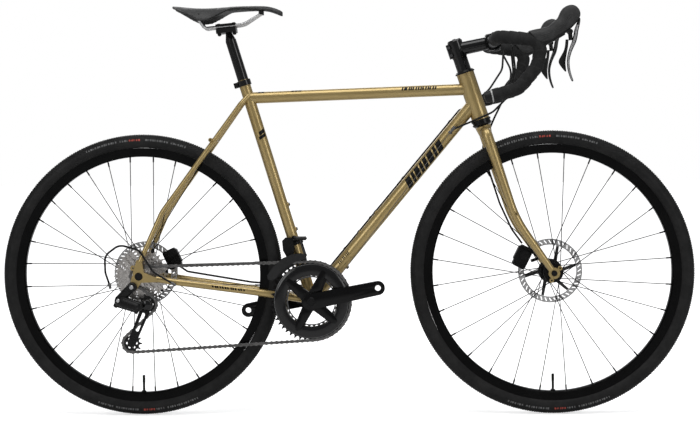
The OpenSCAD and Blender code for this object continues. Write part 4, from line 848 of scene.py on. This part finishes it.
def build_tape(side, label):
    """Padded tape wound round the bar: each turn laps over the last one."""
    path = bar_path(side)
    tape_end = len(path) - 12
    taped = path[:tape_end]

    def radius(s, angle):
        turn = (s / WRAP_PITCH + side * angle / (2 * math.pi)) % 1.0
        lip = turn / 0.1 if turn < 0.1 else 1 - 0.75 * (turn - 0.1) / 0.9
        padded = 0.35 * MM * math.sin(math.pi * turn)
        start = min(1.0, 0.2 + s / (6 * MM))
        return 12.4 * MM + start * (2.5 * MM + 1.35 * MM * lip + padded)

    obj = add_mesh(f"{label}_tape_wrap", *tube(taped, radius, 30, UP), TAPE, "steering", "tape", sharp=60)
    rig.replaces(obj, "bar_tape")
    finish = tube(path[:7], 15.6 * MM, 30, UP)
    add_mesh(f"{label}_tape_finish", *finish, PLASTIC, "steering", "tape")
    # A painted highlight: a pale ring at the end of the tape, standing for the light caught between the tape and the
    # plug.
    band = round_bar(path[tape_end - 2], path[tape_end + 1], 15.4 * MM, sides=32, bevel=0.8 * MM)
    add_mesh(f"{label}_tape_end_highlight", *band, TAPE_END_HIGHLIGHT, "steering", "plastic")
    plug = [round_bar(path[tape_end + 1], path[-1], 14.3 * MM, 13.6 * MM, sides=32, bevel=1.5 * MM),
            round_bar(path[-3], path[-1] + (path[-1] - path[-2]) * 0.7, 9.5 * MM, sides=32, bevel=1 * MM)]
    add_mesh(f"{label}_bar_plug", *merge(plug), PLASTIC, "steering", "plastic")


# x, z, half height, half width, and the direction the section stands in
HOOD_STATIONS = (
    (450.5, 918.4, 17.6, 15.4, -0.68, 0.73), (451.3, 918.2, 20, 16.6, -0.68, 0.73),
    (454, 918.6, 21, 17.2, -0.66, 0.75), (463, 920, 20.5, 17.5, -0.52, 0.85),
    (475, 923, 18.5, 17.5, -0.38, 0.92), (489, 927.5, 17.5, 17, -0.33, 1),
    (503, 938, 18, 16.5, -0.45, 1), (519, 948.5, 19.5, 16, -0.7, 0.72),
    (530, 962.5, 22.5, 15.4, -0.83, 0.55), (537.5, 974, 22.9, 14.6, -0.9, 0.42),
    (541.5, 981.5, 20, 13.4, -0.92, 0.38), (544, 987.5, 14.5, 11, -0.93, 0.36),
    (545.6, 991.5, 8, 7, -0.93, 0.36), (546, 993, 2.5, 2.5, -0.93, 0.36),
)


def section(centre, up, half_up, half_side, square, steps, side_dir=LEFT):
    """One closed ring: an ellipse whose corners fill out as square falls below one."""
    ring = []
    for k in range(steps):
        a = 2 * math.pi * k / steps
        u = math.copysign(abs(math.cos(a)) ** square, math.cos(a))
        v = math.copysign(abs(math.sin(a)) ** square, math.sin(a))
        ring.append(centre + up * u * half_up + side_dir * v * half_side)
    return ring


def spline(rows, between):
    """Rows of numbers with Catmull-Rom steps put between them."""
    full = [rows[0]] + list(rows) + [rows[-1]]
    out = []
    for i in range(1, len(full) - 2):
        a, b, c, d = full[i - 1:i + 3]
        for k in range(between):
            t = k / between
            out.append([0.5 * (2 * q + (r - p) * t + (2 * p - 5 * q + 4 * r - w) * t * t
                               + (3 * q - p - 3 * r + w) * t ** 3) for p, q, r, w in zip(a, b, c, d)])
    return out + [list(rows[-1])]


def build_hood(side, label):
    """The moulded rubber cover with its tall horn, a lip at the bar and two grip ribs on each flank."""
    rings = []
    for x, z, high, wide, ux, uz in spline(HOOD_STATIONS, 3):
        up = Vector((ux, 0, uz)).normalized()
        ring = section(mm(x, HOOD_Y * side, z), up, high * MM, wide * MM, 0.82, 40)
        rings.append(ring)
    hood = add_mesh(f"{label}_hood_rubber", *loft(rings), HOOD, "steering", "hood", sharp=50)
    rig.replaces(hood, "hood_covers")
    ribs = []
    rows = spline(HOOD_STATIONS[3:10], 4)
    for s in (-1, 1):
        for level in (-0.34, -0.12, 0.1):
            line = []
            for x, z, high, wide, ux, uz in rows:
                up = Vector((ux, 0, uz)).normalized()
                out = wide * (1 - abs(level) ** (2 / 0.82)) ** 0.41 - 0.15
                line.append(mm(x, HOOD_Y * side + s * out, z) + up * level * high * MM)
            ribs.append(tube(resample(line, 3 * MM), 0.75 * MM, 8))
    add_mesh(f"{label}_hood_ribs", *merge(ribs), HOOD, "steering", "hood")


# x, z, half thickness, half width
BLADE = (
    (557.5, 963, 2.0, 4), (556.5, 957, 3.2, 6.5), (553.5, 946, 4.2, 8.5), (550, 934, 4.8, 9.3),
    (548, 922, 5, 9.5), (544.5, 908, 5, 9.4), (539.5, 896, 4.4, 9), (534, 881, 3.7, 8.6),
    (530.4, 863, 3.2, 8.2), (531.4, 844, 3, 7.6), (535.6, 827, 2.7, 6.4), (539.6, 816.5, 2.3, 4.6),
    (540.6, 814, 1.0, 2),
)


def blade_rings(side, rows, grow=0.0, wide=1.0, shift=0.0):
    rings = []
    for i, (x, z, thick, width) in enumerate(rows):
        before, after = rows[max(i - 1, 0)], rows[min(i + 1, len(rows) - 1)]
        along = Vector((after[0] - before[0], 0, after[1] - before[1])).normalized()
        across = Vector((-along.z, 0, along.x))
        centre = mm(x, HOOD_Y * side + shift, z)
        rings.append(section(centre, across, (thick + grow) * MM, width * wide * MM, 0.8, 24))
    return rings


def build_lever(side, label):
    rows = spline(BLADE, 3)
    blade = add_mesh(f"{label}_lever_blade", *loft(blade_rings(side, rows)), GLOSS,
                     f"{label}_brake_lever", "black_alloy", sharp=50)
    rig.replaces(blade, f"{label}_brake_lever")
    # A painted reflection: a light grey strip along each blade's outboard face, standing for the light that the glossy
    # black lever mirrors.
    face = [(x - 0.8, z, thick * 0.5, 1.2) for x, z, thick, _ in rows[6:-3]]
    widths = [width for *_, width in rows[6:-3]]
    rings = []
    for ring, width in zip(blade_rings(side, face), widths):
        move = mm(0, side * (width - 0.6), 0)
        rings.append([p + move for p in ring])
    add_mesh(f"{label}_lever_reflection_strip", *loft(rings), LEVER_REFLECTION_PAINT, f"{label}_brake_lever", "bolt")


# z, rear x, front x of the shift paddle, and how far inboard it lies
PADDLE = (
    (913, 525, 532, 3), (898, 523.5, 531, 3.5), (886, 520.5, 529, 5), (874, 514, 527, 6),
    (864, 509, 525.5, 7), (857, 509.5, 525, 7), (850, 513.5, 525.4, 6), (842, 519.5, 526, 5),
    (837.5, 523, 526.2, 4),
)


def build_paddle(side, label):
    rings = []
    for z, rear, front, inboard in spline(PADDLE, 3):
        centre = mm((rear + front) / 2, (HOOD_Y - inboard) * side, z)
        rings.append(section(centre, Vector((1, 0, 0)), (front - rear) / 2 * MM, 1.9 * MM, 0.7, 20))
    obj = add_mesh(f"{label}_paddle_blade", *loft(rings), PLASTIC, f"{label}_shift_paddle", "plastic")
    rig.replaces(obj, f"{label}_shift_paddle")


# -------- cranks and chainring
CRANK_ANGLE = math.radians(11.2)
CRANK_LENGTH = 167.5 * MM
SPIDER_ANGLES = (56, 128, 232, 308)


def turned(angle):
    """Unit vectors along an angle in the wheel plane, and square to it, seen from the drive side."""
    return (Vector((math.cos(angle), 0, math.sin(angle))), Vector((-math.sin(angle), 0, math.cos(angle))))


def arm_outline(length, r1, r2):
    tip = [round_xy(a, r2) for a in range(-88, 89, 11)]
    return [(length + x, y) for x, y in tip] + [round_xy(a, r1) for a in range(92, 269, 11)]


def build_cranks():
    along, square = turned(CRANK_ANGLE)
    thread = [round_xy(360 * i / 28, 7.3 * MM) for i in range(28)]
    hole = [(CRANK_LENGTH + x, y) for x, y in thread]
    outline = arm_outline(CRANK_LENGTH, 19.6 * MM, 17.2 * MM)
    right = plate(outline, BB + mm(0, -59.1, 0), along, square, 14 * MM, 2.6 * MM, [hole])
    add_mesh("right_crank_arm", *right, CRANK, "crank", "crank", sharp=30)
    left = plate(outline, BB + mm(0, 59.1, 0), -along, square, 14 * MM, 2.6 * MM, [hole])
    add_mesh("left_crank_arm", *left, CRANK, "crank", "crank", sharp=30)
    cap = round_bar(BB + mm(0, -72.6, 0), BB + mm(0, -74.6, 0), 11 * MM, 10.4 * MM, sides=40, bevel=0.5 * MM)
    add_mesh("crank_axle_cap", *cap, SATIN, "crank", "crank")


def build_ring_face():
    """The chainring's hollow face and the four broad arms that carry it."""
    ring = BB + mm(0, -48.2, 0)
    profile = [(62.5, 1.1), (63.2, 3.4), (66, 4.9), (73, 5.5), (83, 5.3), (89, 4.4), (91.6, 2.4), (91.8, 1.1)]
    edge_profile = [(90.6, 3.3), (91.6, 3.0), (92.1, 2.2), (91.4, 1.6)]
    face = lathe(in_metres(profile), ring, DRIVE, 144)
    edge = lathe(in_metres(edge_profile), ring, DRIVE, 144)
    add_mesh("ring_face", *face, GLOSS, "crank", "black_alloy", sharp=40)
    add_mesh("ring_face_edge", *edge, BOLT, "crank", "black_alloy")
    lower = [(16, -15), (40, -11.5), (60, -8.6), (74, -7.4), (80, -4.5)]
    upper = [(x, -y) for x, y in reversed(lower)]
    outline = in_metres(lower + [(81, 0)] + upper)
    arms = []
    for a in SPIDER_ANGLES:
        along, square = turned(CRANK_ANGLE + math.radians(a))
        arms.append(plate(outline, BB + mm(0, -51, 0), along, square, 7.2 * MM, 2.3 * MM))
    add_mesh("spider_arms", *merge(arms), CRANK, "crank", "crank", sharp=25)


# -------- hoses and cables
DOWN_TOP = HEAD_LOW + STEER_AXIS * 55 * MM
DOWN = (DOWN_TOP - BB).normalized()
DOWN_NORMAL = Vector((-DOWN.z, 0, DOWN.x))
HOSE_R = 2.5 * MM


def hose(name, points, bends, body=None):
    path = rounded_path(points, bends, HOSE_R)
    return add_mesh(name, *tube(path, HOSE_R, 12), HOSE, body, "hose")


def build_hoses():
    stop_left = DOWN_TOP - DOWN * 88 * MM + mm(0, 22.5, 0)
    stop_right = DOWN_TOP - DOWN * 88 * MM - mm(0, 22.5, 0)
    ridge = DOWN_NORMAL * 17 * MM + mm(0, 9.5, 0)
    high = DOWN_TOP - DOWN * 40 * MM + ridge

    def from_bars(name, points, bends):
        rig.blend(hose(name, points, bends), "frame", "steering", points[-1], points[0])

    bar_loop = mm_list((420, 60, 905), (424, 50, 850), (404, 36, 790), (350, 28, 782))
    loop = hose("rear_hose_bar_loop", bar_loop + [high], (40, 40, 40))
    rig.replaces(loop, "control_lines")
    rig.blend(loop, "frame", "steering", high, bar_loop[0])
    stay_run = mm_list((-92, 34, 316), (-240, 50, 326), (-405, 65, 353), (-424, 65, 366))
    along_tube = [high, BB + DOWN * 90 * MM + ridge, BB + DOWN * 50 * MM + mm(0, 26, 0)]
    hose("rear_hose_stay_run", along_tube + stay_run, (60, 40, 40, 60, 12), "frame")
    left_run = mm_list((403, 92, 906), (398, 70, 858), (362, 32, 806), (318, 31, 768))
    from_bars("left_shift_housing", left_run + [stop_left], (50, 40, 30))
    right_run = mm_list((410, -92, 906), (419, -62, 850), (407, -44, 790), (366, -32, 748), (318, -29, 727))
    from_bars("right_shift_housing", right_run + [stop_right], (50, 45, 40, 30))
    fork_run = mm_list((400, 120, 906), (426, 92, 850), (396, 66, 775), (376, 63, 735),
                       (343, 59.5, 660), (387, 53.5, 520), (416, 47, 455), (441, 41, 419.5))
    hose("front_hose_run", fork_run, (60, 60, 60, 60, 60, 60), "steering")
    rear_loop = mm_list((-418, -78.5, 329), (-473, -82, 362), (-508, -86, 418), (-556, -88, 430),
                        (-592, -87, 404), (-591, -86, 362), (-582, -84, 334))
    hose("rear_shift_housing", rear_loop, (30, 30, 28, 28, 30), "frame")
    fittings = []
    for stop in (stop_left, stop_right):
        ends = (stop + DOWN * 9 * MM, stop - DOWN * 9 * MM)
        fittings.append(round_bar(*ends, 4.2 * MM, 3.4 * MM, bevel=0.8 * MM))
        fittings.append(round_bar(stop - DOWN * 8 * MM, stop - DOWN * 13 * MM, 5.2 * MM, bevel=0.8 * MM))
    fittings.append(round_bar(mm(-418, -78.5, 329), mm(-430, -79.2, 336), 3.6 * MM, bevel=0.6 * MM))
    fittings.append(round_bar(mm(-582.6, -84.2, 336), mm(-579, -83, 322), 3.8 * MM, 3.2 * MM, bevel=0.6 * MM))
    add_mesh("cable_fittings", *merge(fittings), BOLT, "frame", "bolt")
    clips = []
    for s in (150, 250, 378, 560):
        at = BB + DOWN * s * MM + ridge
        clips.append(tube([at - DOWN * 3.5 * MM, at + DOWN * 3.5 * MM], 3.4 * MM, 16))
        clips.append(round_bar(at, at - DOWN_NORMAL * 4 * MM - mm(0, 2, 0), 1.6 * MM))
    add_mesh("hose_clips", *merge(clips), PLASTIC, "frame", "plastic")
    wires = []
    for y, low in ((-22.5, BB + mm(-6, -14, -24)), (22.5, BB + mm(-6, 14, -24))):
        start = DOWN_TOP - DOWN * 100 * MM + mm(0, y, 0)
        under = BB + DOWN * 60 * MM - DOWN_NORMAL * 17.5 * MM + mm(0, y * 0.25, 0)
        wires.append(tube(rounded_path([start, under, low], (60,), 6 * MM), 0.6 * MM, 6))
    add_mesh("down_tube_wires", *merge(wires), BOLT, "frame", "bolt")


# -------- decals
def tube_marks(name, origin, along, radius, marks):
    """Plain slanted bars lying on a tube's drive side. Each is (start, end, low angle, high angle, slant)."""
    up = along.cross(LEFT).normalized()
    if up.z < 0:
        up = -up
    parts = []
    for start, end, low, high, slant in marks:
        rings = []
        steps = 7
        for k in range(steps + 1):
            a = math.radians(low + (high - low) * k / steps)
            out = DRIVE * math.cos(a) + up * math.sin(a)
            shift = slant * k / steps
            ring = []
            for s, h in ((start, 0.16), (end, 0.16), (end, -0.2), (start, -0.2)):
                ring.append(origin + along * (s + shift) * MM + out * (radius + h) * MM)
            rings.append(ring)
        parts.append(loft(rings))
    add_mesh(name, *merge(parts), DECAL, "frame")


DOWN_TUBE_R = 15.9
SMALL_TUBE_R = 14.3
SEAT_ANGLE = math.radians(73.1)


def build_decals():
    bars = ((366, 17), (387, 9), (399, 15), (418, 10), (431, 12), (447, 18), (469, 9), (482, 17))
    big = [(start, start + width, -52, 44, 11) for start, width in bars]
    tube_marks("down_tube_marks", BB, DOWN, DOWN_TUBE_R, big)
    small = [(s, s + 2.6, 8, 34, 2) for s in (112, 117, 121, 127, 131, 137, 142, 146)]
    tube_marks("down_tube_small_marks", BB, DOWN, DOWN_TUBE_R, small)
    seat = Vector((-math.cos(SEAT_ANGLE), 0, math.sin(SEAT_ANGLE)))
    rear = BB + seat * 527 * MM
    front = HEAD_LOW + STEER_AXIS * 89 * MM
    along = (front - rear).normalized()
    length = (front - rear).length / MM
    fine = [(length - 172 + s, length - 172 + s + 4, 12, 50, 2.5)
            for s in (0, 6, 10, 17, 22, 27, 34, 40, 46, 51, 58, 64, 69, 76, 82)]
    tube_marks("top_tube_marks", rear, along, SMALL_TUBE_R, fine)
    back = [(22 + s, 22 + s + 7, 48, 78, 3) for s in (0, 9, 84, 93, 102)]
    tube_marks("top_tube_rear_marks", rear, along, SMALL_TUBE_R, back)
    tube_marks("seat_tube_marks", BB, seat, SMALL_TUBE_R, [(418, 426, -20, 62, 6), (428, 438, -6, 62, 6)])
    stay = (mm(-420, -66, 336) - mm(-230, -36, 309)).normalized()
    tiny = [(s, s + 4.2, -8, 26, 2) for s in (20, 27, 33, 41, 47, 52, 60, 66, 73, 79, 86, 91, 98)]
    tube_marks("chainstay_marks", mm(-230, -36, 309), stay, 9, tiny)


def build_tyre_marks():
    """Small pale and red dashes on the tyre walls, where sizes are printed."""
    def dash(wheel, start, width):
        rings = []
        for k in range(4):
            across = math.radians(11 + 5 * k - 90)
            corners = ((start, 0.3), (start - width, 0.3), (start - width, -0.4), (start, -0.4))
            rings.append([on_tyre(wheel, across, math.radians(a), h * MM) for a, h in corners])
        return loft(rings)

    for label, wheel, body in (("front", FRONT, "front_wheel"), ("rear", REAR, "rear_wheel")):
        pale, red = [], []
        for turn in (0, 180):
            for i in range(44):
                if i in (14, 24, 25, 36):
                    continue
                start = 114 + turn - i
                parts = red if 19 <= i <= 23 else pale
                parts.append(dash(wheel, start, 0.36 + 0.18 * (i % 3)))
        add_mesh(f"{label}_tyre_pale_marks", *merge(pale), PRINT, body, "tyre")
        add_mesh(f"{label}_tyre_red_marks", *merge(red), RED, body, "tyre")


# -------- rear derailleur covers
def chunky(points, sizes):
    """A rounded body through points, with a half height and half thickness at each."""
    rings = []
    for i, (p, (high, thick)) in enumerate(zip(points, sizes)):
        along = (points[min(i + 1, len(points) - 1)] - points[max(i - 1, 0)]).normalized()
        side = (LEFT - along * along.y).normalized()
        rings.append(section(p, along.cross(side), high * MM, thick * MM, 0.72, 18, side))
    return loft(rings)


def build_derailleur_covers():
    outer_low = joint_pos("rd_shift")
    outer_high = joint_pos("rd_knuckle_turn")
    run = outer_high - outer_low
    stations = (-0.16, -0.12, 0.0, 0.3, 0.6, 0.85, 1.02, 1.12, 1.15)
    points = [outer_low + run * t + mm(0, -2.5, 0) for t in stations]
    sizes = [(4, 3), (9, 6), (12.5, 8), (13.5, 8.5), (13, 8.5), (12.5, 8.5), (11.5, 8), (8.5, 6), (4, 3)]
    add_mesh("rd_body_cover", *chunky(points, sizes), SATIN, "rd_outer_link", "black_alloy", sharp=50)
    knuckle = mm(-526, -79.5, 325.5)
    parts = [round_bar(knuckle, knuckle + DRIVE * 13 * MM, 12.5 * MM, 11.5 * MM, bevel=1.8 * MM)]
    middle = knuckle.lerp(outer_low, 0.5)
    bridge = [knuckle + mm(2, -6, 2), middle + mm(0, -2, 0), outer_low + mm(0, 2, 0)]
    parts.append(chunky(bridge, [(11, 6), (11.5, 7), (11, 7)]))
    add_mesh("rd_knuckle_cover", *merge(parts), SATIN, "frame", "black_alloy", sharp=50)
    bolts = [round_bar(knuckle + DRIVE * 12.5 * MM, knuckle + DRIVE * 14.5 * MM, 5 * MM, bevel=0.5 * MM),
             round_bar(outer_low + mm(0, -11, 0), outer_low + mm(0, -13.5, 0), 4.4 * MM, bevel=0.5 * MM)]
    add_mesh("rd_knuckle_bolts", *merge(bolts), BRIGHT, "frame", "bolt")
    round_cover = round_bar(GUIDE + mm(0, -10.5, 0), GUIDE + mm(0, -21, 0), 15 * MM, 12.5 * MM, bevel=2 * MM)
    add_mesh("rd_p_knuckle_cover", *round_cover, GLOSS, "rd_knuckle", "black_alloy", sharp=50)


# -------- saddle
SADDLE_TAIL = -430.0
SADDLE_LENGTH = 281.0


def ease(t):
    t = min(1.0, max(0.0, t))
    return t * t * (3 - 2 * t)


def saddle_half(t):
    """Half the saddle's width from the tail (0) to the nose (1)."""
    if t < 0.4:
        return (72 - 14 * ease(t / 0.4)) * math.sqrt(min(1, (t + 0.012) / 0.1))
    return (58 - 38.5 * ease((t - 0.4) / 0.45)) * math.sqrt(max(0.05, min(1, (1.004 - t) / 0.06)))


def saddle_top(t):
    return (1016.5 + 7 * max(0, 1 - t / 0.3) ** 2 + 5 * ease((t - 0.3) / 0.45)
            - 15 * max(0, (t - 0.8) / 0.2) ** 2)


def saddle_edge(t):
    return saddle_top(t) - 10 - 28 * ease(1 - abs(t - 0.28) / 0.3) - 6 * ease((t - 0.6) / 0.4)


def saddle_ring(t, inset):
    """Over the top from one lower edge to the other, and back under the foam."""
    half = saddle_half(t) - inset
    x = SADDLE_TAIL + inset + (SADDLE_LENGTH - 2 * inset) * t
    top, low = saddle_top(t) - inset, saddle_edge(t)
    groove = 1.6 * ease(1 - abs(t - 0.55) / 0.4)
    ring = []
    for k in range(25):
        s = -1 + k / 12
        drop = (top - low) * abs(math.sin(s * math.pi / 2)) ** 3.2
        ring.append(mm(x, half * math.sin(s * math.pi / 2), top - drop - groove * max(0, 1 - abs(s) / 0.14)))
    for k in range(25):
        s = 1 - k / 12
        drop = (top - 7 - low + 1.5) * abs(math.sin(s * math.pi / 2)) ** 3.2
        ring.append(mm(x, (half - 3) * math.sin(s * math.pi / 2), top - 7 - drop))
    return ring


SADDLE_INSET = 1.6
PRESSURE = 4.0
MOST_SWELL = 2.6 * MM
CLOTH_FRAMES = 20


def build_saddle():
    """A cover filled by a pressure simulation, pinned along its lower edge, over the firm shell."""
    rings = [saddle_ring(i / 40, SADDLE_INSET) for i in range(41)]
    cover = add_mesh("saddle_padding", *loft(rings), SADDLE, None, None, sharp=70)
    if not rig.quick():
        swell(cover)
    finer = cover.modifiers.new("subdivision", "SUBSURF")
    finer.levels = 1
    finer.render_levels = 1
    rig.ride(cover, "seatpost")
    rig.slot(cover, "saddle")
    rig.replaces(cover, "saddle_cover")
    edge = []
    for side in (-1, 1):
        line = []
        for i in range(2, 40):
            t = i / 40
            half = saddle_half(t) - 0.6
            x = SADDLE_TAIL + SADDLE_INSET + (SADDLE_LENGTH - 2 * SADDLE_INSET) * t
            line.append(mm(x, side * half, saddle_edge(t) + 2.2))
        edge.append(tube(resample(line, 4 * MM), 1.1 * MM, 8))
    add_mesh("saddle_edge_piping", *merge(edge), PLASTIC, "seatpost", "saddle")


def swell(obj):
    """Inflates a closed cloth from a slightly small start and keeps what it finds."""
    remesh = obj.modifiers.new("even", "REMESH")
    remesh.mode = "VOXEL"
    remesh.voxel_size = 4.5 * MM
    apply_modifiers(obj)
    rest = [v.co.copy() for v in obj.data.vertices]
    pinned = obj.vertex_groups.new(name="pinned")
    for v in obj.data.vertices:
        t = (v.co.x / MM - SADDLE_TAIL) / SADDLE_LENGTH
        low = saddle_edge(min(1, max(0, t))) * MM
        under = v.normal.z < -0.2
        pinned.add([v.index], 1.0 if under or v.co.z < low + 5 * MM else 0.0, "REPLACE")
    cloth = obj.modifiers.new("cloth", "CLOTH")
    settings = cloth.settings
    settings.quality = 6
    settings.mass = 0.3
    settings.use_pressure = True
    settings.uniform_pressure_force = PRESSURE
    settings.effector_weights.gravity = 0
    settings.vertex_group_mass = "pinned"
    settings.tension_stiffness = 12
    settings.compression_stiffness = 12
    settings.bending_stiffness = 1.5
    cloth.point_cache.frame_start = 1
    cloth.point_cache.frame_end = CLOTH_FRAMES
    scene = bpy.context.scene
    for number in range(1, CLOTH_FRAMES + 1):
        scene.frame_set(number)
    shaped = evaluated(obj)
    moved = [v.co.copy() for v in shaped.to_mesh().vertices]
    shaped.to_mesh_clear()
    obj.modifiers.remove(cloth)
    for v, before, after in zip(obj.data.vertices, rest, moved):
        step = after - before
        if step.length > MOST_SWELL:
            step *= MOST_SWELL / step.length
        v.co = before + step
    scene.frame_set(1)
    obj.data.shade_smooth()


def evaluated(obj):
    return obj.evaluated_get(bpy.context.evaluated_depsgraph_get())


def apply_modifiers(obj):
    mesh = bpy.data.meshes.new_from_object(evaluated(obj))
    materials = list(obj.data.materials)
    obj.modifiers.clear()
    obj.data = mesh
    mesh.materials.clear()
    for material in materials:
        mesh.materials.append(material)


# -------- camera, light and floor
CAMERA_AT = mm(60, -4091, 651)
CAMERA_YAW = math.radians(-2.546)
CAMERA_PITCH = math.radians(-0.203)
CAMERA_ROLL = math.radians(-0.559)
CAMERA_LENS = 84.3
CAMERA_SHIFT = (0.0767, -0.0749)


def build_camera():
    data = bpy.data.cameras.new("camera")
    data.lens = CAMERA_LENS
    data.sensor_width = 36
    data.shift_x, data.shift_y = CAMERA_SHIFT
    data.clip_end = 100
    camera = new_object("camera", data)
    ahead = Vector((math.sin(CAMERA_YAW) * math.cos(CAMERA_PITCH),
                    math.cos(CAMERA_YAW) * math.cos(CAMERA_PITCH), math.sin(CAMERA_PITCH)))
    right = Vector((math.cos(CAMERA_YAW), -math.sin(CAMERA_YAW), 0))
    up = right.cross(ahead)
    rolled = right * math.cos(CAMERA_ROLL) + up * math.sin(CAMERA_ROLL)
    upright = up * math.cos(CAMERA_ROLL) - right * math.sin(CAMERA_ROLL)
    turn = Matrix((rolled, upright, -ahead)).transposed().to_4x4()
    camera.matrix_world = Matrix.Translation(CAMERA_AT) @ turn
    bpy.context.scene.camera = camera


FLOOR_GLOW = (0.55, 1.0)


def area_light(name, at, target, size, size_y, power):
    data = bpy.data.lights.new(name, "AREA")
    data.shape = "RECTANGLE"
    data.size = size
    data.size_y = size_y
    data.energy = power
    light = new_object(name, data)
    light.location = at
    light.rotation_mode = "QUATERNION"
    light.rotation_quaternion = (Vector(target) - Vector(at)).to_track_quat("-Z", "Y")
    light.visible_camera = False


def build_studio():
    scene = bpy.context.scene
    scene.view_settings.view_transform = "Standard"
    world = bpy.data.worlds.new("studio")
    scene.world = world
    world.use_nodes = True
    tree = world.node_tree
    background = next(n for n in tree.nodes if n.type == "BACKGROUND")
    set_inputs(background, {"Color": (0.62, 0.63, 0.65, 1), "Strength": 0.42})
    seen = tree.nodes.new("ShaderNodeBackground")
    set_inputs(seen, {"Color": (1, 1, 1, 1), "Strength": 1.0})
    paths = tree.nodes.new("ShaderNodeLightPath")
    mix = tree.nodes.new("ShaderNodeMixShader")
    output = next(n for n in tree.nodes if n.type == "OUTPUT_WORLD")
    tree.links.new(paths.outputs["Is Camera Ray"], mix.inputs[0])
    tree.links.new(background.outputs[0], mix.inputs[1])
    tree.links.new(seen.outputs[0], mix.inputs[2])
    tree.links.new(mix.outputs[0], output.inputs["Surface"])
    area_light("overhead", (0.2, -0.9, 3.4), (0, 0, 0.5), 3.6, 1.8, 66)
    area_light("front_left", (-2.6, -3.4, 1.9), (0, 0, 0.6), 1.6, 2.2, 34)
    area_light("front_right", (2.9, -3.0, 1.6), (0, 0, 0.6), 1.2, 2.0, 26)
    area_light("behind", (0.0, 3.0, 2.4), (0, 0, 0.5), 4.0, 1.6, 42)


def build_floor():
    """Pale ground that fades into the white backdrop for the camera alone."""
    size = 30.0
    corners = [(-size, -size, 0), (size, -size, 0), (size, size, 0), (-size, size, 0)]
    s = Shader("pale_floor", 0.9, spec=0.1)
    s.colour(s.clouds(0.8, grey(0.80), grey(0.83), detail=3, low=0.3))
    glow = s.spread(s.length(s.coords), 0.6, 4.0, *FLOOR_GLOW)
    seen = s.add("ShaderNodeLightPath").outputs["Is Camera Ray"]
    s.bsdf.inputs["Emission Color"].default_value = (1, 1, 1, 1)
    s.link(s.math("MULTIPLY", glow, seen), s.bsdf.inputs["Emission Strength"])
    floor = add_mesh("floor", corners, [(0, 1, 2, 3)], s.material, smooth=False)
    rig.stage(floor)


dress_cad_nodes()
build_tyre("front_tyre_rubber", FRONT, "front_wheel", "front_tyre")
build_tyre("rear_tyre_rubber", REAR, "rear_wheel", "rear_tyre")
build_chain()
build_cranks()
build_ring_face()
build_derailleur_covers()
build_hoses()
for side, label in SIDES:
    build_tape(side, label)
    build_hood(side, label)
    build_lever(side, label)
    build_paddle(side, label)
build_saddle()
build_decals()
build_tyre_marks()
build_floor()
build_studio()
build_camera()

visual_low, visual_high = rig.bounds()
with open("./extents.json", "w") as out:
    json.dump({"cad": [list(cad_low), list(cad_high)], "visual": [list(visual_low), list(visual_high)]}, out)
